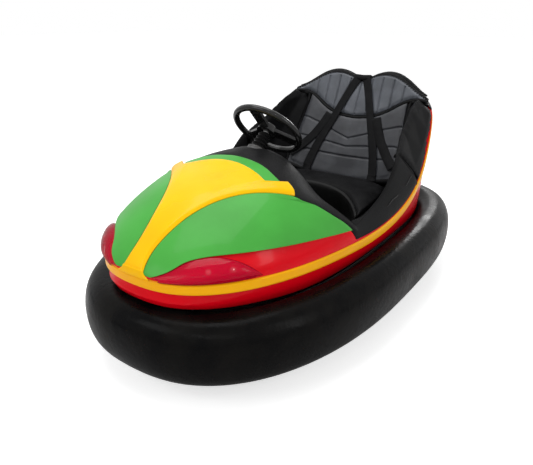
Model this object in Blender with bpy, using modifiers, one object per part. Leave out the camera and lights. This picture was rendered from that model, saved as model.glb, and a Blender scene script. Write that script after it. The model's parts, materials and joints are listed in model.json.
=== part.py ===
"""Two-seat fairground bumper car: air-tube bumper, moulded body, bench seat and a swivelling drive wheel.

Metres, +Z up. The nose points along -Y, the car's left side is at +X and the floor is z = 0.
Run it with: blender --background --python part.py
"""

import math

import bmesh
import bpy
from mathutils import Vector

# Driving dimensions of the whole car
car_length = 1.95
car_width = 1.15
wheel_radius = 0.100
fit_gap = 0.0004
skin = 0.004

# Rubber bumper tube: one ring round the whole car
tube_half_width = 0.088
tube_half_height = 0.122
tube_centre_z = 0.195
tube_nose_power = 2.4
tube_tail_power = 3.0
tube_section_power = 2.4
ring_sections = 35

# Steel band that the tube is clamped on
band_thickness = 0.006
band_height = 0.150

# Floor pan and the box-section frame on it
pan_bottom_z = wheel_radius + 0.025
pan_thickness = 0.005
pan_inset = 2 * tube_half_width + band_thickness + 3 * fit_gap
pan_half = car_width / 2 - pan_inset
rail_width = 0.040
rail_height = 0.036
frame_low_z = pan_bottom_z + pan_thickness + fit_gap
frame_high_z = frame_low_z + rail_height

# Body shell in plan: like superellipses about waist_y, with nose and tail reach and their powers
waist_y = 0.050
nose_setback = 0.070
tail_setback = 0.175
skirt_overlap = 0.005
belt_overhang = 0.044
skirt_half = car_width / 2 - 2 * tube_half_width + skirt_overlap
nose_reach = car_length / 2 - nose_setback + waist_y
tail_reach = car_length / 2 - tail_setback - waist_y
belt_plan = dict(
    half=skirt_half + belt_overhang, nose=nose_reach, tail=tail_reach, nose_power=2.45, tail_power=3.2,
)
skirt_plan = dict(
    half=skirt_half, nose=nose_reach - 0.015, tail=tail_reach - 0.008, nose_power=2.5, tail_power=3.5,
)
nose_spacing = 1.8

# Wheels: the drive wheel's and the rear wheels' stations on the body, from -1 at the nose to 1 at the tail
drive_station = -0.52356
rear_wheel_station = 0.53333
drive_y = waist_y + drive_station * nose_reach
rear_wheel_y = waist_y + rear_wheel_station * tail_reach
wheel_width = 0.050
hub_radius = 0.6 * wheel_radius
axle_radius = 0.0125
wheel_room = 0.014
rear_wheel_x = 0.88 * pan_half - 0.0448
rail_x = rear_wheel_x - wheel_width / 2 - wheel_room - rail_width / 2 - 0.009
bracket_x = rear_wheel_x - 0.065
bracket_thickness = 0.010

# Drive unit: a wheel, fork and motor that swivel together
turntable_radius = 0.160
turntable_thickness = 0.010
ring_width = 0.048
ring_thickness = 0.006
fork_inside = 0.074
cheek_thickness = 0.010
cheek_width = 0.080
wheel_well = 0.010
bridge_z = 2 * wheel_radius + wheel_well + 0.015
motor_radius = 0.052
motor_length = 0.105
shaft_radius = 0.014

# Belt strip round the body
belt_height = 0.036
belt_gap = 0.0009
belt_depth = 0.014
# station, height of the belt's middle line
belt_rise = (
    (-1.000, 0.400), (-0.649, 0.392), (-0.366, 0.385), (-0.178, 0.376), (-0.031, 0.374),
    (0.112, 0.388), (0.253, 0.412), (0.360, 0.446), (0.480, 0.503), (0.557, 0.565),
    (0.640, 0.640), (0.733, 0.706), (0.853, 0.750), (1.000, 0.765),
)
skirt_bulge = 0.012
# station, height of the skirt's lower edge
skirt_drop = ((-0.984, 0.328), (-0.785, 0.314), (-0.471, 0.290), (0.067, 0.284), (1.000, 0.290))

# Bonnet: station, height of its crown
crown_line = (
    (-1.000, 0.420), (-0.974, 0.452), (-0.911, 0.500), (-0.785, 0.572), (-0.628, 0.631),
    (-0.524, 0.660), (-0.440, 0.678), (-0.366, 0.690),
)
# angle from the crown in degrees, station of the bonnet's rear edge
bonnet_rear = (
    (0, -0.440), (15, -0.450), (32, -0.485), (45, -0.497), (54, -0.4555),
    (65, -0.408), (75, -0.351), (82, -0.319), (90, -0.298),
)
# station, angle in degrees of the green panels' lower edge
panel_lower = (
    (-1.000, 44), (-0.974, 47), (-0.921, 43), (-0.890, 47), (-0.817, 58),
    (-0.7225, 66), (-0.597, 72), (-0.471, 76), (-0.356, 79), (-0.262, 80),
)
# station, half-width of the yellow crest as a share of the belt's
crest_half = (
    (-1.000, 0.089), (-0.942, 0.083), (-0.890, 0.098), (-0.838, 0.127), (-0.775, 0.174),
    (-0.696, 0.259), (-0.628, 0.362), (-0.550, 0.518), (-0.497, 0.634), (-0.461, 0.696),
)
# share of the crest's half-width, station where that line ends
crest_rear = (
    (0.00, -0.490), (0.20, -0.493), (0.40, -0.504), (0.60, -0.519), (0.74, -0.534),
    (0.745, -0.532), (0.79, -0.475), (1.00, -0.497),
)
panel_lift = 0.0037
panel_thickness = 0.004
panel_seam = 0.0022
crest_lift = 0.012
dish_depth = 0.016
lens_start = -0.991
lens_end = -0.764
lens_low_angle = 88.5
lens_bulge = 0.016

# Footwell tub
tub_half = skirt_half - 0.032
tub_front_y = drive_y + turntable_radius + 0.075
tub_rear_y = rear_wheel_y - wheel_radius - 0.050
tub_floor_z = frame_high_z + fit_gap
tub_top_z = 0.395

# Padded coaming round the cockpit. In front, steps as dx, dy, dz from the bonnet's rear edge
# angle from the crown: edge roll, crown, top, lip, inner face
cowl_steps = (
    (0, (0, 0.008, 0.010), (0.000, 0.045, 0.018), (0.000, 0.115, 0.022), (0.000, 0.160, 0.006), (0.000, 0.172, -0.038)),
    (14, (0, 0.008, 0.009), (0.000, 0.047, 0.012), (0.000, 0.115, 0.014), (0.000, 0.160, -0.003), (-0.002, 0.172, -0.050)),
    (28, (0.001, 0.010, 0.003), (0.003, 0.047, 0.009), (0.000, 0.117, 0.011), (-0.004, 0.162, -0.007), (-0.010, 0.178, -0.059)),
    (44, (0.001, 0.010, 0.002), (0.006, 0.052, 0.003), (0.000, 0.110, -0.002), (-0.008, 0.152, -0.020), (-0.018, 0.176, -0.075)),
    (55, (0.001, 0.010, 0.002), (0.006, 0.052, -0.002), (0.000, 0.086, -0.012), (-0.011, 0.114, -0.032), (-0.022, 0.136, -0.085)),
    (66, (0.002, 0.010, 0.003), (0.006, 0.050, -0.008), (-0.003, 0.073, -0.012), (-0.018, 0.091, -0.024), (-0.026, 0.103, -0.060)),
    (78, (0.002, 0.008, 0.006), (0.003, 0.030, -0.002), (-0.008, 0.044, 0.003), (-0.028, 0.054, 0.002), (-0.042, 0.060, -0.022)),
    (90, (-0.001, 0.003, 0.012), (-0.001, 0.012, 0.026), (-0.020, 0.022, 0.044), (-0.044, 0.034, 0.050), (-0.056, 0.040, 0.028)),
)
# Rim beside the seat, station of its foot: inset and rise of its face, of its crease and of its crest from the
# body's ledge, and stations by which the crease and the crest stand ahead of the foot
rim_steps = (
    (-0.298, (-0.001, 0.010), (0.012, 0.036), (0.034, 0.054), 0.00, 0.00),
    (-0.178, (-0.001, 0.010), (0.013, 0.042), (0.035, 0.064), 0.00, 0.00),
    (0.000, (-0.001, 0.012), (0.012, 0.056), (0.035, 0.094), 0.01, 0.03),
    (0.120, (-0.001, 0.014), (0.012, 0.068), (0.036, 0.126), 0.02, 0.08),
    (0.220, (-0.001, 0.016), (0.012, 0.070), (0.038, 0.158), 0.03, 0.13),
    (0.300, (-0.001, 0.018), (0.012, 0.074), (0.042, 0.186), 0.04, 0.16),
    (0.370, (-0.001, 0.020), (0.013, 0.078), (0.050, 0.208), 0.05, 0.18),
    (0.430, (0.002, 0.022), (0.014, 0.080), (0.062, 0.224), 0.05, 0.18),
    (0.500, (0.005, 0.022), (0.014, 0.078), (0.078, 0.235), 0.05, 0.17),
    (0.570, (0.007, 0.020), (0.014, 0.070), (0.089, 0.229), 0.04, 0.13),
    (0.640, (0.008, 0.018), (0.014, 0.058), (0.086, 0.196), 0.03, 0.08),
    (0.700, (0.009, 0.016), (0.014, 0.044), (0.073, 0.128), 0.02, 0.04),
    (0.740, (0.010, 0.014), (0.014, 0.032), (0.054, 0.072), 0.01, 0.02),
)
coaming_end = 0.370
crest_roll = 0.010
rim_lift = 0.0014
coaming_thickness = 0.006
corner_depth = 0.030
# from the foot over the crest to the tub's wall
coaming_shares = (1.0, 1.0, 0.8, 0.5, 0.5, 0.8, 1.0)

# Bench: the front lip is concave in plan
bench_half = tub_half - skin - 0.006
lip_middle_y = tub_front_y + 0.748 * (tub_rear_y - tub_front_y)
lip_side_y = tub_front_y + 0.184 * (tub_rear_y - tub_front_y)
bench_rear_y = rear_wheel_y + 0.020
lip_z = 0.452
lip_power = 2.2
bench_top_z = 0.395
cushion_half = bench_half - 0.032
cushion_thickness = 0.040
cushion_setback = 0.058
cushion_taper = 0.16

# Backrest: height share, station and z of its middle, inset from the belt's half-width, station and z of its edge
backrest_sections = (
    (-0.12, 0.497, 0.390, 0.040, 0.345, 0.500),
    (0.00, 0.531, 0.425, 0.040, 0.367, 0.525),
    (0.20, 0.583, 0.522, 0.040, 0.451, 0.555),
    (0.40, 0.640, 0.617, 0.048, 0.527, 0.597),
    (0.60, 0.700, 0.710, 0.060, 0.593, 0.650),
    (0.80, 0.760, 0.795, 0.075, 0.657, 0.722),
    (1.00, 0.805, 0.866, 0.073, 0.709, 0.804),
)
bolster_share = 0.71
# Side wing, station of its foot: x and y of its inner edge on the bench, or share across and up beside the pads
wing_edge = (
    (0.370, (0.358, 0.206), None), (0.430, (0.346, 0.262), None),
    (0.490, (0.312, 0.352), None), (0.540, None, (0.718, -0.040)), (0.580, None, (0.718, 0.160)),
    (0.620, None, (0.718, 0.340)), (0.660, None, (0.718, 0.530)), (0.700, None, (0.718, 0.740)),
    (0.740, None, (0.790, 0.870)),
)
wing_hollow = 0.016
heel_width = 0.034
heel_rise = 0.014
end_hollow = 0.010
# share across, share up of the seam under the upper pad
arc_line = (
    (0.00, 0.560), (0.20, 0.570), (0.40, 0.630), (0.57, 0.730), (0.73, 0.850), (0.84, 0.920), (0.95, 0.955),
)
arc_end = 0.95
hump_rise = 0.048
pad_thickness = 0.045
pad_low = -0.05
pad_bulge = 0.008
shell_reach = 0.95
shoulder_drop = 0.30
# share across, share up of a shoulder belt's middle line
belt_path = (
    (0.055, 0.985), (0.110, 0.860), (0.185, 0.690), (0.255, 0.530), (0.320, 0.390), (0.375, 0.250), (0.420, 0.110),
    (0.440, 0.020),
)
webbing_width = 0.046
webbing_thickness = 0.003
belt_clear = 0.0007

# Steering wheel and its column, whose line meets the swivel axis
column_lean = math.radians(45.8)
hub_y = waist_y + bonnet_rear[0][1] * nose_reach + 0.1942
hub_z = 0.748
hub_height = 0.030
hub_pad_radius = 0.040
rim_radius = 0.134
rim_bar = 0.0135
spoke_width = 0.044
spoke_thickness = 0.012
column_radius = 0.013
boot_radius = 0.034
boot_base = 0.006
boot_length = 0.075
boot_folds = 5
bearing_length = 0.046

# Battery block below the bench, and the pedal on the footwell's floor
battery_half = rail_x - rail_width / 2 - 0.022
battery_front_y = tub_rear_y + 0.015
battery_rear_y = rear_wheel_y + 0.125
battery_top_z = 0.330
pedal_width = 0.100
pedal_length = 0.125
pedal_height = 0.014
pedal_x = 0.140

materials = {}


def material(name, colour, roughness, metallic=0.0):
    """A Principled BSDF material with this base colour, made once."""
    if name not in materials:
        made = bpy.data.materials.new(name)
        made.use_nodes = True
        shader = made.node_tree.nodes["Principled BSDF"]
        shader.inputs["Base Color"].default_value = (*colour, 1.0)
        shader.inputs["Roughness"].default_value = roughness
        shader.inputs["Metallic"].default_value = metallic
        made.diffuse_color = (*colour, 1.0)
        materials[name] = made
    return materials[name]


def looks():
    """The materials by slot: colour, roughness, metallic."""
    table = {
        "tube_rubber": ((0.012, 0.012, 0.013), 0.25, 0.0),
        "tyre_rubber": ((0.020, 0.020, 0.020), 0.70, 0.0),
        "body_red": ((0.640, 0.004, 0.014), 0.15, 0.0),
        "belt_yellow": ((0.900, 0.420, 0.004), 0.20, 0.0),
        "panel_green": ((0.070, 0.380, 0.062), 0.15, 0.0),
        "crest_yellow": ((0.950, 0.540, 0.004), 0.18, 0.0),
        "lens_red": ((0.420, 0.006, 0.020), 0.08, 0.0),
        "lamp_white": ((0.800, 0.780, 0.740), 0.20, 0.0),
        "vinyl_black": ((0.014, 0.014, 0.015), 0.45, 0.0),
        "vinyl_grey": ((0.055, 0.058, 0.064), 0.40, 0.0),
        "moulded_black": ((0.016, 0.016, 0.016), 0.35, 0.0),
        "frame_steel": ((0.040, 0.042, 0.045), 0.50, 0.0),
        "zinc_steel": ((0.520, 0.530, 0.540), 0.35, 1.0),
        "webbing_black": ((0.012, 0.012, 0.013), 0.80, 0.0),
    }
    for name, (colour, roughness, metallic) in table.items():
        material(name, colour, roughness, metallic)


def clear_scene():
    for old in list(bpy.data.objects):
        bpy.data.objects.remove(old, do_unlink=True)


def collection(name, helper=False):
    made = bpy.data.collections.new(name)
    bpy.context.scene.collection.children.link(made)
    made.hide_render = helper
    return made


def smooth_value(table, at, column=1):
    """Value at a place in a table of rows, by a monotone cubic through them."""
    rows = list(table)
    if at <= rows[0][0]:
        return rows[0][column]
    if at >= rows[-1][0]:
        return rows[-1][column]
    k = max(i for i in range(len(rows) - 1) if rows[i][0] <= at)

    def slope(i):
        return (rows[i + 1][column] - rows[i][column]) / (rows[i + 1][0] - rows[i][0])

    def tangent(i):
        if i == 0:
            return slope(0)
        if i == len(rows) - 1:
            return slope(i - 1)
        before, after = slope(i - 1), slope(i)
        return 0.0 if before * after <= 0 else 2 * before * after / (before + after)

    span = rows[k + 1][0] - rows[k][0]
    t = (at - rows[k][0]) / span
    a, b = rows[k][column], rows[k + 1][column]
    return (
        (2 * t**3 - 3 * t**2 + 1) * a
        + (t**3 - 2 * t**2 + t) * span * tangent(k)
        + (-2 * t**3 + 3 * t**2) * b
        + (t**3 - t**2) * span * tangent(k + 1)
    )


def y_at(station):
    """y of a station on the body: -1 at the nose, 0 at the waist, 1 at the tail."""
    return waist_y + station * (nose_reach if station < 0 else tail_reach)


def station_at(y):
    return (y - waist_y) / (nose_reach if y < waist_y else tail_reach)


def superellipse(turn, half, nose, tail, nose_power, tail_power, middle=waist_y, grow=0.0):
    """Plan point (x, y): turn is 0 at the nose, pi at the tail and half of that at the side."""
    ahead = math.cos(turn)
    power = nose_power if ahead >= 0 else tail_power
    reach = (nose if ahead >= 0 else tail) + grow
    x = (half + grow) * abs(math.sin(turn)) ** (2 / power)
    y = middle - math.copysign(reach * abs(ahead) ** (2 / power), ahead)
    return x, y


def mesh_object(name, mesh_data, slot, owner):
    made = bpy.data.objects.new(name, mesh_data)
    made.data.materials.append(materials[slot])
    owner.objects.link(made)
    return made


def from_bmesh(name, bm, slot, owner, closed=True):
    mesh = bpy.data.meshes.new(name)
    if closed:
        bmesh.ops.recalc_face_normals(bm, faces=bm.faces)
        if bm.calc_volume(signed=True) < 0:
            bmesh.ops.reverse_faces(bm, faces=bm.faces)
    bm.to_mesh(mesh)
    bm.free()
    return mesh_object(name, mesh, slot, owner)


def add_grid(bm, rows, close_rows=False, close_columns=False):
    """Quads between neighbouring rows of points. Returns the rows of vertices."""
    grid = [[bm.verts.new(point) for point in row] for row in rows]
    wide = len(grid[0])
    row_pairs = [(i, (i + 1) % len(grid)) for i in range(len(grid) - (0 if close_rows else 1))]
    column_pairs = [(j, (j + 1) % wide) for j in range(wide - (0 if close_columns else 1))]
    for i, k in row_pairs:
        for j, m in column_pairs:
            bm.faces.new((grid[i][j], grid[k][j], grid[k][m], grid[i][m]))
    return grid


def skin_object(name, grids, slot, owner, merge=1e-5):
    """One open surface from grids of points that share edges: it faces the side from which rows run anticlockwise."""
    bm = bmesh.new()
    for rows in grids:
        add_grid(bm, rows)
    bmesh.ops.remove_doubles(bm, verts=bm.verts, dist=merge)
    return from_bmesh(name, bm, slot, owner, closed=False)


def solid_between(name, outer, inner, slot, owner, same_diagonals=False):
    """A closed plate lofted between an outer and an inner grid of the same size."""
    bm = bmesh.new()
    top = add_grid(bm, outer)
    low = add_grid(bm, inner)
    high = len(top) - 1
    wide = len(top[0]) - 1
    edge = [(0, j) for j in range(wide)] + [(i, wide) for i in range(high)]
    edge += [(high, j) for j in range(wide, 0, -1)] + [(i, 0) for i in range(high, 0, -1)]
    for (i, j), (k, m) in zip(edge, edge[1:] + edge[:1]):
        bm.faces.new((top[i][j], top[k][m], low[k][m], low[i][j]))
    if same_diagonals:
        bmesh.ops.triangulate(bm, faces=bm.faces, quad_method="FIXED")
    bmesh.ops.remove_doubles(bm, verts=bm.verts, dist=1e-5)
    return from_bmesh(name, bm, slot, owner)


def mirrored(points):
    return [[(-x, y, z) for x, y, z in row] for row in points]


def modifier(target, kind, **settings):
    made = target.modifiers.new(kind.title(), kind)
    for key, value in settings.items():
        setattr(made, key, value)
    return made


def mirror_half(target):
    modifier(target, "MIRROR", merge_threshold=0.0001)


def thicken(target, thickness, offset=-1.0):
    modifier(target, "SOLIDIFY", thickness=thickness, offset=offset, use_even_offset=True)


def box(name, low, high, slot, owner, bevel=0.0):
    """A box between two corners, its edges rounded."""
    low, high = Vector(low), Vector(high)
    bm = bmesh.new()
    bmesh.ops.create_cube(bm, size=1.0)
    bmesh.ops.scale(bm, vec=high - low, verts=bm.verts)
    made = from_bmesh(name, bm, slot, owner)
    made.location = (low + high) / 2
    if bevel:
        modifier(made, "BEVEL", width=bevel, segments=2, limit_method="ANGLE")
    return made


def rod(name, start, end, radius, slot, owner, segments=24, end_radius=None):
    """A round bar or cone between two points."""
    start, end = Vector(start), Vector(end)
    bm = bmesh.new()
    bmesh.ops.create_cone(
        bm, cap_ends=True, segments=segments, radius1=radius,
        radius2=radius if end_radius is None else end_radius, depth=(end - start).length,
    )
    made = from_bmesh(name, bm, slot, owner)
    made.rotation_mode = "QUATERNION"
    made.rotation_quaternion = (end - start).to_track_quat("Z", "Y")
    made.location = (start + end) / 2
    return made


def turned(name, profile, slot, owner, steps=32):
    """A ring or body of revolution about the object's Z, from (radius, height) points of a closed outline."""
    following = profile[1:] + profile[:1]
    if sum(a[0] * b[1] - b[0] * a[1] for a, b in zip(profile, following)) > 0:
        profile = profile[::-1]
    bm = bmesh.new()
    ring = [bm.verts.new((radius, 0.0, height)) for radius, height in profile]
    for a, b in zip(ring, ring[1:] + ring[:1]):
        bm.edges.new((a, b))
    mesh = bpy.data.meshes.new(name)
    bm.to_mesh(mesh)
    bm.free()
    made = mesh_object(name, mesh, slot, owner)
    modifier(
        made, "SCREW", steps=steps, render_steps=steps, use_merge_vertices=True, merge_threshold=0.0001,
    )
    return made


def boolean(target, other, operation="DIFFERENCE"):
    modifier(target, "BOOLEAN", object=other, operation=operation, solver="EXACT")


def helper(target, cutters):
    """Moves an object to the cutters' collection."""
    for owner in list(target.users_collection):
        owner.objects.unlink(target)
    cutters.objects.link(target)
    target.hide_render = True
    target.display_type = "WIRE"
    return target


def tube_outline(turn, inset):
    """Point on the plan outline of the bumper tube, moved in along its normal by inset."""
    half, reach = car_width / 2, car_length / 2
    powers = dict(nose_power=tube_nose_power, tail_power=tube_tail_power)
    x, y = superellipse(turn, half, reach, reach, middle=0.0, **powers)
    power = tube_nose_power if math.cos(turn) >= 0 else tube_tail_power
    normal = Vector((
        (x / half) ** (power - 1) / half,
        math.copysign((abs(y) / reach) ** (power - 1) / reach, y),
    )).normalized()
    return x - inset * normal.x, y - inset * normal.y


def tube_turns(count):
    return [math.pi * k / (count - 1) for k in range(count)]


def bumper_tube(parts):
    """The black tube: a rounded section carried round the outline."""
    section = []
    sides = 16
    for k in range(sides):
        angle = 2 * math.pi * k / sides
        out = math.copysign(abs(math.cos(angle)) ** (2 / tube_section_power), math.cos(angle))
        up = math.copysign(abs(math.sin(angle)) ** (2 / tube_section_power), math.sin(angle))
        section.append((tube_half_width * (1 - out), tube_centre_z + tube_half_height * up))
    rows = []
    for turn in tube_turns(ring_sections):
        rows.append([(*tube_outline(turn, inset), z) for inset, z in section])
    for row in (rows[0], rows[-1]):
        row[:] = [(0.0, y, z) for x, y, z in row]
    bm = bmesh.new()
    add_grid(bm, rows, close_columns=True)
    tube = from_bmesh("bumper_tube", bm, "tube_rubber", parts)
    mirror_half(tube)
    return tube


def bumper_band(parts):
    """The steel band inside the tube, as a strip made thick."""
    rows = []
    inset = 2 * tube_half_width + fit_gap
    for turn in tube_turns(ring_sections):
        x, y = tube_outline(turn, inset)
        x = 0.0 if turn in (0.0, math.pi) else x
        rows.append([(x, y, tube_centre_z - band_height / 2), (x, y, tube_centre_z + band_height / 2)])
    band = skin_object("bumper_band", [rows], "frame_steel", parts)
    mirror_half(band)
    thicken(band, band_thickness)
    return band


def flat_plate(name, outline, bottom, thickness, slot, owner):
    """A plate from a closed plan outline."""
    curve = bpy.data.curves.new(name, "CURVE")
    curve.dimensions = "2D"
    curve.fill_mode = "BOTH"
    curve.extrude = thickness / 2
    spline = curve.splines.new("POLY")
    spline.points.add(len(outline) - 1)
    for point, (x, y) in zip(spline.points, outline):
        point.co = (x, y, 0.0, 1.0)
    spline.use_cyclic_u = True
    made = bpy.data.objects.new(name, curve)
    made.location.z = bottom + thickness / 2
    owner.objects.link(made)
    bpy.context.view_layer.update()
    mesh = bpy.data.meshes.new_from_object(made.evaluated_get(bpy.context.evaluated_depsgraph_get()))
    solid = bpy.data.objects.new(name + "_solid", mesh)
    solid.matrix_world = made.matrix_world.copy()
    bpy.data.objects.remove(made, do_unlink=True)
    solid.name = name
    owner.objects.link(solid)
    bm = bmesh.new()
    bm.from_mesh(mesh)
    bmesh.ops.remove_doubles(bm, verts=bm.verts, dist=1e-5)
    bmesh.ops.recalc_face_normals(bm, faces=bm.faces)
    bm.to_mesh(mesh)
    bm.free()
    mesh.materials.clear()
    mesh.materials.append(materials[slot])
    return solid


def floor_pan(parts, cutters):
    """The floor plate inside the band, open for the three wheels."""
    half = [tube_outline(turn, pan_inset) for turn in tube_turns(ring_sections)]
    outline = half + [(-x, y) for x, y in reversed(half[1:-1])]
    outline[0] = (0.0, outline[0][1])
    outline[ring_sections - 1] = (0.0, outline[ring_sections - 1][1])
    pan = flat_plate("floor_pan", outline, pan_bottom_z, pan_thickness, "frame_steel", parts)
    for side in (-1, 1):
        slot = box(
            f"wheel_slot_{'r' if side < 0 else 'l'}",
            (side * rear_wheel_x - wheel_width / 2 - wheel_room, rear_wheel_y - wheel_radius - wheel_room, 0.05),
            (side * rear_wheel_x + wheel_width / 2 + wheel_room, rear_wheel_y + wheel_radius + wheel_room, 0.20),
            "frame_steel", cutters,
        )
        boolean(pan, helper(slot, cutters))
    hole = rod(
        "drive_hole", (0, drive_y, 0.05), (0, drive_y, 0.20),
        turntable_radius - ring_width + wheel_room, "frame_steel", cutters, segments=40,
    )
    boolean(pan, helper(hole, cutters))
    return pan


def frame(parts, cutters):
    """Two rails behind the turntable and three crossmembers, welded into one frame."""
    half = rail_width / 2
    low, high = frame_low_z, frame_high_z
    nose_end = drive_y + turntable_radius + 0.030
    tail_end = rear_wheel_y + 0.170
    middle = rear_wheel_y - wheel_radius - wheel_room - 0.066
    rail = box("frame", (rail_x - half, nose_end, low), (rail_x + half, tail_end, high), "frame_steel", parts)
    other = box("rail_r", (-rail_x - half, nose_end, low), (-rail_x + half, tail_end, high), "frame_steel", cutters)
    boolean(rail, helper(other, cutters), "UNION")
    for number, y in enumerate((nose_end + half, middle, tail_end - half)):
        member = box(
            f"crossmember_{number}", (-rail_x - half + 0.002, y - half + 0.001, low + 0.001),
            (rail_x + half - 0.002, y + half - 0.001, high - 0.001), "frame_steel", cutters,
        )
        boolean(rail, helper(member, cutters), "UNION")
    return rail


def wheel_profile(outer, inner, width, shoulder):
    """Closed outline of a ring with rounded shoulders, as (radius, height) points."""
    half = width / 2
    return [
        (inner, -half), (inner, half), (outer - shoulder, half), (outer - 0.3 * shoulder, half - 0.3 * shoulder),
        (outer, half - shoulder), (outer, shoulder - half), (outer - 0.3 * shoulder, 0.3 * shoulder - half),
        (outer - shoulder, -half),
    ]


def wheel(name, centre, parts):
    """Solid rubber tyre and its hub, turned about X."""
    tyre = turned(
        f"{name}_tyre", wheel_profile(wheel_radius, hub_radius + fit_gap, wheel_width, 0.010),
        "tyre_rubber", parts, steps=28,
    )
    bore = axle_radius + fit_gap
    face = wheel_width / 2 + 0.003
    web = 0.010
    boss = bore + 0.016
    hub = turned(
        f"{name}_hub",
        [
            (bore, -face), (bore, face), (boss, face), (boss, web), (hub_radius - 0.008, web),
            (hub_radius - 0.006, wheel_width / 2), (hub_radius, wheel_width / 2), (hub_radius, -wheel_width / 2),
            (hub_radius - 0.006, -wheel_width / 2), (hub_radius - 0.008, -web), (boss, -web), (boss, -face),
        ],
        "zinc_steel", parts, steps=20,
    )
    for piece in (tyre, hub):
        piece.rotation_euler = (0.0, math.radians(90), 0.0)
        piece.location = centre
    return tyre, hub


def rear_axle(parts, cutters):
    """The fixed axle and the two brackets that hang it from the pan."""
    reach = rear_wheel_x + wheel_width / 2 + 0.018
    axle = rod(
        "rear_axle", (-reach, rear_wheel_y, wheel_radius), (reach, rear_wheel_y, wheel_radius),
        axle_radius, "zinc_steel", parts,
    )
    for side, letter in ((1, "l"), (-1, "r")):
        middle = side * bracket_x
        bracket = box(
            f"axle_bracket_{letter}",
            (middle - bracket_thickness / 2, rear_wheel_y - 0.030, wheel_radius - 0.022),
            (middle + bracket_thickness / 2, rear_wheel_y + 0.030, pan_bottom_z - fit_gap),
            "zinc_steel", cutters,
        )
        boolean(axle, helper(bracket, cutters), "UNION")
    return axle


def drive_unit(parts, cutters):
    """Fixed ring, then the turntable with fork and shaft, its motor and its wheel."""
    ring_low = frame_low_z
    ring_high = ring_low + ring_thickness
    ring_inside = turntable_radius - ring_width + wheel_room
    ring = turned(
        "drive_ring",
        [(ring_inside, ring_low), (ring_inside, ring_high), (turntable_radius, ring_high), (turntable_radius, ring_low)],
        "zinc_steel", parts, steps=40,
    )
    ring.location = (0, drive_y, 0)
    table_low = ring_high + fit_gap
    table = rod(
        "drive_fork", (0, drive_y, table_low), (0, drive_y, table_low + turntable_thickness),
        turntable_radius, "frame_steel", parts, segments=40,
    )
    opening = box(
        "fork_opening",
        (-fork_inside / 2, drive_y - wheel_radius - 0.008, 0.05),
        (fork_inside / 2, drive_y + wheel_radius + 0.008, 2 * wheel_radius + wheel_well), "frame_steel", cutters,
    )
    boolean(table, helper(opening, cutters))
    for side, letter in ((1, "l"), (-1, "r")):
        inner = side * fork_inside / 2
        outer = side * (fork_inside / 2 + cheek_thickness)
        cheek = box(
            f"fork_cheek_{letter}",
            (min(inner, outer), drive_y - cheek_width / 2, wheel_radius - 0.030),
            (max(inner, outer), drive_y + cheek_width / 2, bridge_z), "frame_steel", cutters,
        )
        boolean(table, helper(cheek, cutters), "UNION")
    bridge = box(
        "fork_bridge",
        (-fork_inside / 2 - cheek_thickness + 0.001, drive_y - cheek_width / 2 + 0.001, bridge_z - cheek_thickness),
        (fork_inside / 2 + cheek_thickness - 0.001, drive_y + cheek_width / 2 - 0.001, bridge_z + 0.002),
        "frame_steel", cutters,
    )
    boolean(table, helper(bridge, cutters), "UNION")
    shaft = rod(
        "fork_shaft", (0, drive_y, bridge_z - 0.004), (0, drive_y, joint_height() - 0.022), shaft_radius,
        "frame_steel", cutters,
    )
    boolean(table, helper(shaft, cutters), "UNION")
    stub = rod(
        "fork_axle", (-fork_inside / 2 - 0.002, drive_y, wheel_radius), (fork_inside / 2 + 0.002, drive_y, wheel_radius),
        axle_radius, "frame_steel", cutters,
    )
    boolean(table, helper(stub, cutters), "UNION")
    motor_x = -(fork_inside / 2 + cheek_thickness + fit_gap)
    motor_z = table_low + turntable_thickness + fit_gap + motor_radius
    motor = rod(
        "drive_motor", (motor_x, drive_y, motor_z), (motor_x - motor_length, drive_y, motor_z), motor_radius,
        "frame_steel", parts, segments=32,
    )
    modifier(motor, "BEVEL", width=0.006, segments=2, limit_method="ANGLE")
    wheel("drive_wheel", (0, drive_y, wheel_radius), parts)
    return ring, table, motor


def belt_points(turn, grow=0.0):
    return superellipse(turn, grow=grow, **belt_plan)


def belt_turns():
    """Turns of the sections round the body: close at the nose, then even to the tail."""
    front = 13
    rear = 15
    turns = []
    for k in range(front + 1):
        station = -1 + (bonnet_rear[-1][1] + 1) * (k / front) ** nose_spacing
        turns.append(math.acos((-station) ** (belt_plan["nose_power"] / 2)))
    last = turns[-1]
    turns += [last + (math.pi - last) * k / rear for k in range(1, rear + 1)]
    return turns, front


def at_middle(turn, x):
    return 0.0 if turn < 1e-6 or turn > math.pi - 1e-6 else x


def belt_line(turn):
    """Height of the belt's middle line at this turn."""
    return smooth_value(belt_rise, station_at(belt_points(turn)[1]))


def ledge_points():
    """Points just above the body's thickened ledge, one at each turn, where the upper mouldings stand."""
    turns = belt_turns()[0]
    edge = [Vector((*belt_points(turn, -skin), belt_line(turn) + belt_height / 2 + belt_gap)) for turn in turns]
    up = Vector((0.0, 0.0, 1.0))
    raised = []
    for k in range(len(edge)):
        normals = []
        for a, b in ((k - 1, k), (k, k + 1)):
            if a >= 0 and b < len(edge):
                along = (edge[b] - edge[a]).normalized()
                normals.append((up - along * along.z).normalized())
        normal = sum(normals, Vector()).normalized()
        raised.append(edge[k] + normal * (skin + 2 * fit_gap) / normal.dot(normals[0]))
    return raised


def bonnet_point(angle, station, lift=0.0):
    """Point on the bonnet: angle in degrees from the crown, lifted off the surface."""
    reach = nose_reach + lift
    ahead = min(max(-station * nose_reach / reach, 0.0), 1.0)
    power = belt_plan["nose_power"]
    half = (belt_plan["half"] - skin + lift) * (1 - ahead**power) ** (1 / power)
    foot = smooth_value(belt_rise, station) + belt_height / 2 + belt_gap
    crown = smooth_value(crown_line, station) + lift
    turn = math.radians(angle)
    return half * math.sin(turn), y_at(station), foot + (crown - foot) * math.cos(turn)


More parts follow.
